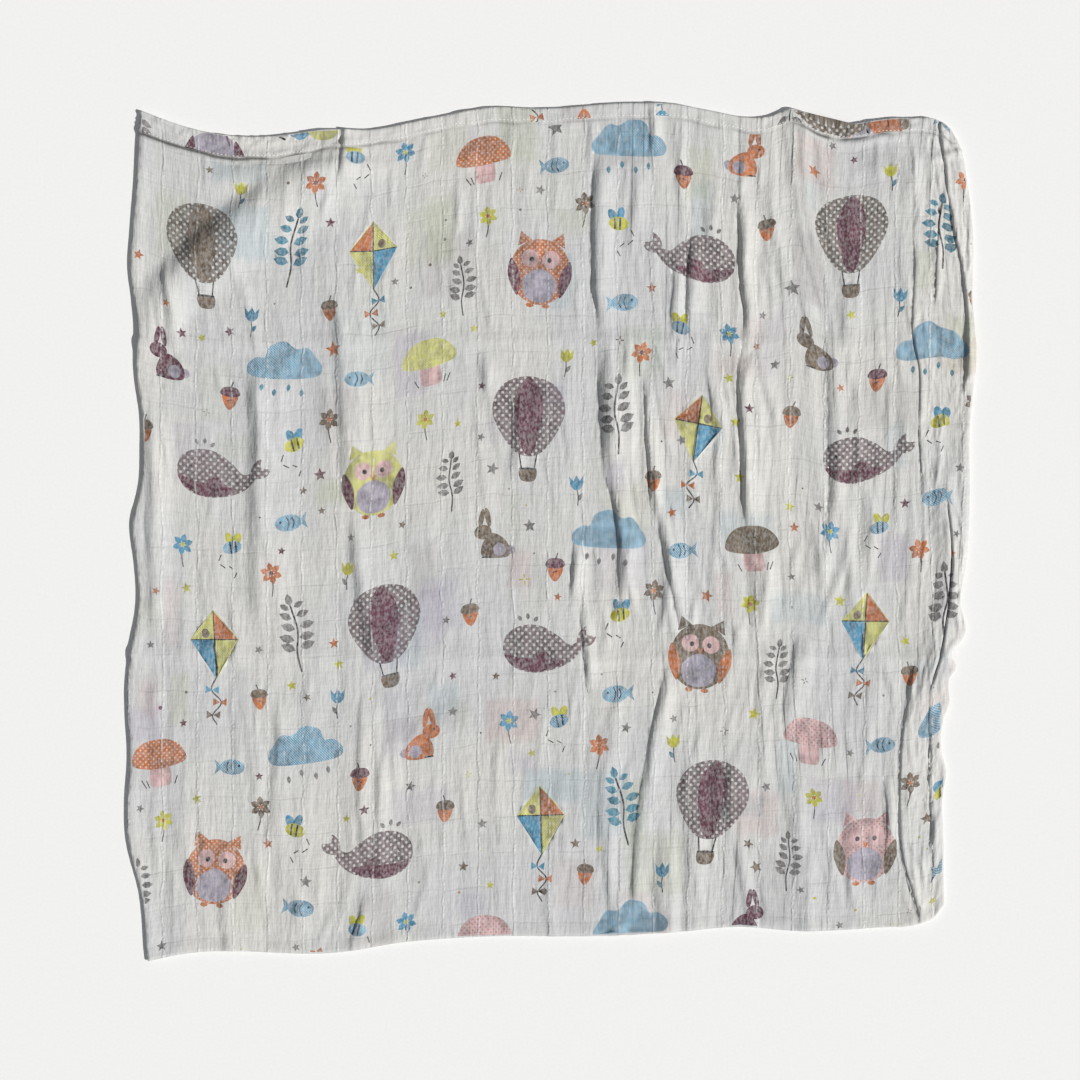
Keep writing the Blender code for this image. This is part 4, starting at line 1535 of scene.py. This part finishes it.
def stitch_tree():
    """Geometry nodes: a row of stitches along a line of points."""
    tree = bpy.data.node_groups.new("hem_stitches", "GeometryNodeTree")
    sockets = {
        "Geometry": "Geometry", "Stitch Length": "Float", "Stitch Pitch": "Float", "Thread Width": "Float",
        "Thread": "Material",
    }
    for label, kind in sockets.items():
        tree.interface.new_socket(label, in_out="INPUT", socket_type=f"NodeSocket{kind}")
    tree.interface.new_socket("Geometry", in_out="OUTPUT", socket_type="NodeSocketGeometry")
    given = given_by(tree.nodes.new("NodeGroupInput"))

    def add(kind, inputs, **settings):
        return given_by(add_node(tree, kind, inputs, **settings))

    line = add("GeometryNodeMeshToCurve", {"Mesh": given["Geometry"]})
    steps = {"Curve": line["Curve"], "Length": given["Stitch Pitch"]}
    spaced = add("GeometryNodeCurveToPoints", steps, mode="LENGTH")
    thread = add("GeometryNodeMeshUVSphere", {"Segments": 8, "Rings": 5, "Radius": 0.5})
    along = add("FunctionNodeAlignRotationToVector", {"Vector": spaced["Tangent"]}, axis="X")
    vary = add_node(tree, "FunctionNodeRandomValue", {"Seed": STITCH_SEED}, data_type="FLOAT")
    for socket, limit in zip([s for s in vary.inputs if s.type == "VALUE"], STITCH_SPREAD):
        socket.default_value = limit
    random = Value(next(s for s in vary.outputs if s.type == "VALUE"))
    width = given["Thread Width"]
    size = add("ShaderNodeCombineXYZ", {0: given["Stitch Length"] * random, 1: width, 2: width})
    copies = add("GeometryNodeInstanceOnPoints", {
        "Points": spaced["Points"], "Instance": thread["Mesh"], "Rotation": along["Rotation"],
        "Scale": size["Vector"],
    })
    real = add("GeometryNodeRealizeInstances", {"Geometry": copies["Instances"]})
    painted = add("GeometryNodeSetMaterial", {"Geometry": real["Geometry"], "Material": given["Thread"]})
    add_node(tree, "NodeGroupOutput", {"Geometry": painted["Geometry"]})
    return tree


def make_stitches(cloth, stitches):
    """The far hem's stitches as one mesh."""
    path = stitch_path(length_table(), cloth)
    mesh = bpy.data.meshes.new("seam_line")
    mesh.from_pydata(path.tolist(), [(k, k + 1) for k in range(len(path) - 1)], [])
    line = new_object("seam_line", mesh)
    modifier = line.modifiers.new("stitches", "NODES")
    tree = stitch_tree()
    modifier.node_group = tree
    values = {
        "Stitch Length": stitches.length, "Stitch Pitch": stitches.pitch, "Thread Width": stitches.width,
        "Thread": plain_material("hem_thread", stitches.colour, 0.8),
    }
    for socket in tree.interface.items_tree:
        if socket.in_out == "INPUT" and socket.name in values:
            modifier[socket.identifier] = values[socket.name]
    made = bpy.data.meshes.new_from_object(line.evaluated_get(bpy.context.evaluated_depsgraph_get()))
    bpy.data.objects.remove(line)
    made.shade_smooth()
    return new_object("hem_stitches", made)


# ---------------------------------------------------------------- stage

PICTURE_MIDDLE = (-12.5, -6.25)  # the place in the tables at the middle of the picture
PICTURE_WIDTH = 1350.0  # width of cloth and floor that the picture shows
FLOOR_SIZE = 9.0  # metres
FLOOR_GAP = 0.0004  # metres that the floor lies below the cloth
KEY_COLOUR, FILL_COLOUR = (1.0, 0.985, 0.955), (0.93, 0.965, 1.0, 1.0)


def make_floor(stage):
    """A plain pale floor."""
    bpy.ops.mesh.primitive_plane_add(size=FLOOR_SIZE, location=(0, 0, 0))
    floor = bpy.context.object
    floor.name = "studio_floor"
    floor.location.z = -FLOOR_GAP
    floor.data.materials.append(plain_material("studio_floor", stage.floor_colour, 0.9))


def make_lights(stage):
    """A low key light from the right and an even fill."""
    data = bpy.data.lights.new("key", "SUN")
    data.energy = stage.key_strength
    data.angle = stage.key_softness
    data.color = KEY_COLOUR
    side, rise = stage.key_side, stage.key_rise
    toward = Vector((math.cos(side) * math.cos(rise), math.sin(side) * math.cos(rise), math.sin(rise)))
    new_object("key", data).rotation_euler = toward.to_track_quat("Z", "Y").to_euler()
    world = bpy.data.worlds.new("studio")
    bpy.context.scene.world = world
    world.use_nodes = True
    background = world.node_tree.nodes["Background"]
    background.inputs["Color"].default_value = FILL_COLOUR
    background.inputs["Strength"].default_value = stage.fill_strength


def make_camera(stage):
    """Straight above the cloth."""
    data = bpy.data.cameras.new("view")
    data.lens = stage.lens
    camera = new_object("view", data)
    x, y = np.array(PICTURE_MIDDLE) - MIDDLE
    camera.location = (x * MM, y * MM, PICTURE_WIDTH * data.lens / data.sensor_width * MM)
    bpy.context.scene.camera = camera


# ---------------------------------------------------------------- settings, operators and panel


def number_setting(name, description, default, **more):
    return bpy.props.FloatProperty(name=name, description=description, default=default, **more)


def length_setting(name, description, default):
    return number_setting(name, description, default, unit="LENGTH", precision=4)


def angle_setting(name, description, degrees):
    return number_setting(name, description, math.radians(degrees), unit="ROTATION")


def colour_setting(name, default):
    return bpy.props.FloatVectorProperty(
        name=name, description=f"Colour of the {name.lower()}", default=default, subtype="COLOR", min=0, max=1
    )


class SwaddleCloth(bpy.types.PropertyGroup):
    thickness: length_setting("Thickness", "Thickness of the double muslin", 0.0015)
    hem_thickness: length_setting("Hem Thickness", "Thickness where the edge is turned in", 0.0023)
    top_hem: length_setting("Far Hem", "Width of the hem along the far edge", 0.018)
    side_hem: length_setting("Side Hem", "Width of the other three hems", 0.011)
    tack_pitch: length_setting("Tack Pitch", "Distance between the lines that tack the layers", 0.044)
    puff: length_setting("Puff", "How far the cloth stands up between the tacks", 0.0006)
    colour: colour_setting("Cloth", screen(214, 213, 210))
    cool_colour: colour_setting("Cloth Where Cooler", screen(206, 207, 208))
    roughness: number_setting("Roughness", "Roughness of the cloth", 0.92)


class SwaddleInks(bpy.types.PropertyGroup):
    plum: colour_setting("Plum", screen(102, 62, 78))
    mauve: colour_setting("Mauve", screen(122, 108, 112))
    greymauve: colour_setting("Grey Mauve", screen(116, 107, 101))
    sky: colour_setting("Sky", screen(84, 150, 184))
    lime: colour_setting("Lime", screen(196, 194, 62))
    orange: colour_setting("Orange", screen(190, 114, 70))
    blush: colour_setting("Blush", screen(214, 178, 178))
    lilac: colour_setting("Lilac", screen(168, 162, 178))
    taupe: colour_setting("Taupe", screen(120, 105, 90))
    charcoal: colour_setting("Charcoal", screen(52, 50, 56))
    grey: colour_setting("Grey", screen(124, 122, 122))
    teal: colour_setting("Teal", screen(76, 134, 156))


class SwaddleStitches(bpy.types.PropertyGroup):
    length: length_setting("Stitch Length", "Length of one stitch", 0.0036)
    pitch: length_setting("Stitch Pitch", "Distance from one stitch to the next", 0.0050)
    width: length_setting("Thread Width", "Width of the sewing thread", 0.0009)
    colour: colour_setting("Thread", screen(244, 243, 238))


class SwaddleStage(bpy.types.PropertyGroup):
    floor_colour: colour_setting("Floor", screen(250, 250, 250))
    key_strength: number_setting("Key Strength", "Strength of the key light", 3.75)
    key_softness: angle_setting("Key Softness", "Angle that the key light fills", 1.5)
    key_rise: angle_setting("Key Height", "Angle of the key light above the floor", 39)
    key_side: angle_setting("Key Side", "Direction of the key light, from the right", -22)
    fill_strength: number_setting("Fill Strength", "Strength of the even light", 0.2)
    lens: number_setting("Lens", "Focal length in millimetres", 85.0)


class SWADDLE_OT_cloth(bpy.types.Operator):
    """Make the printed cloth"""

    bl_idname = "swaddle.cloth"
    bl_label = "Cloth"

    def execute(self, context):
        blanket = make_cloth(context.scene.swaddle_cloth, context.scene.swaddle_inks)
        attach(blanket, "root")
        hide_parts(NODE)
        return {"FINISHED"}


class SWADDLE_OT_stitches(bpy.types.Operator):
    """Sew the stitches of the far hem into the cloth, which is made before them"""

    bl_idname = "swaddle.stitches"
    bl_label = "Stitches"

    def execute(self, context):
        stitches = make_stitches(context.scene.swaddle_cloth, context.scene.swaddle_stitches)
        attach(stitches, "root")
        return {"FINISHED"}


class SWADDLE_OT_stage(bpy.types.Operator):
    """Make the floor, the lights and the camera"""

    bl_idname = "swaddle.stage"
    bl_label = "Stage"

    def execute(self, context):
        stage = context.scene.swaddle_stage
        context.scene.view_settings.view_transform = "Standard"
        make_floor(stage)
        make_lights(stage)
        make_camera(stage)
        return {"FINISHED"}


OPERATORS = (SWADDLE_OT_cloth, SWADDLE_OT_stitches, SWADDLE_OT_stage)
SETTINGS = {
    "swaddle_cloth": SwaddleCloth,
    "swaddle_inks": SwaddleInks,
    "swaddle_stitches": SwaddleStitches,
    "swaddle_stage": SwaddleStage,
}


class SWADDLE_PT_panel(bpy.types.Panel):
    bl_label = "Swaddle Blanket"
    bl_idname = "SWADDLE_PT_panel"
    bl_space_type = "VIEW_3D"
    bl_region_type = "UI"
    bl_category = "Swaddle"

    def draw(self, context):
        for operator in OPERATORS:
            self.layout.operator(operator.bl_idname)
        for name, kind in SETTINGS.items():
            box = self.layout.box()
            for setting in kind.__annotations__:
                box.prop(getattr(context.scene, name), setting)


CLASSES = (*SETTINGS.values(), *OPERATORS, SWADDLE_PT_panel)


def register():
    for kind in CLASSES:
        bpy.utils.register_class(kind)
    for name, kind in SETTINGS.items():
        setattr(bpy.types.Scene, name, bpy.props.PointerProperty(type=kind))


def unregister():
    for name in SETTINGS:
        delattr(bpy.types.Scene, name)
    for kind in reversed(CLASSES):
        bpy.utils.unregister_class(kind)


def main():
    register()
    bpy.ops.swaddle.cloth()
    bpy.ops.swaddle.stitches()
    bpy.ops.swaddle.stage()


if __name__ == "__main__":
    main()
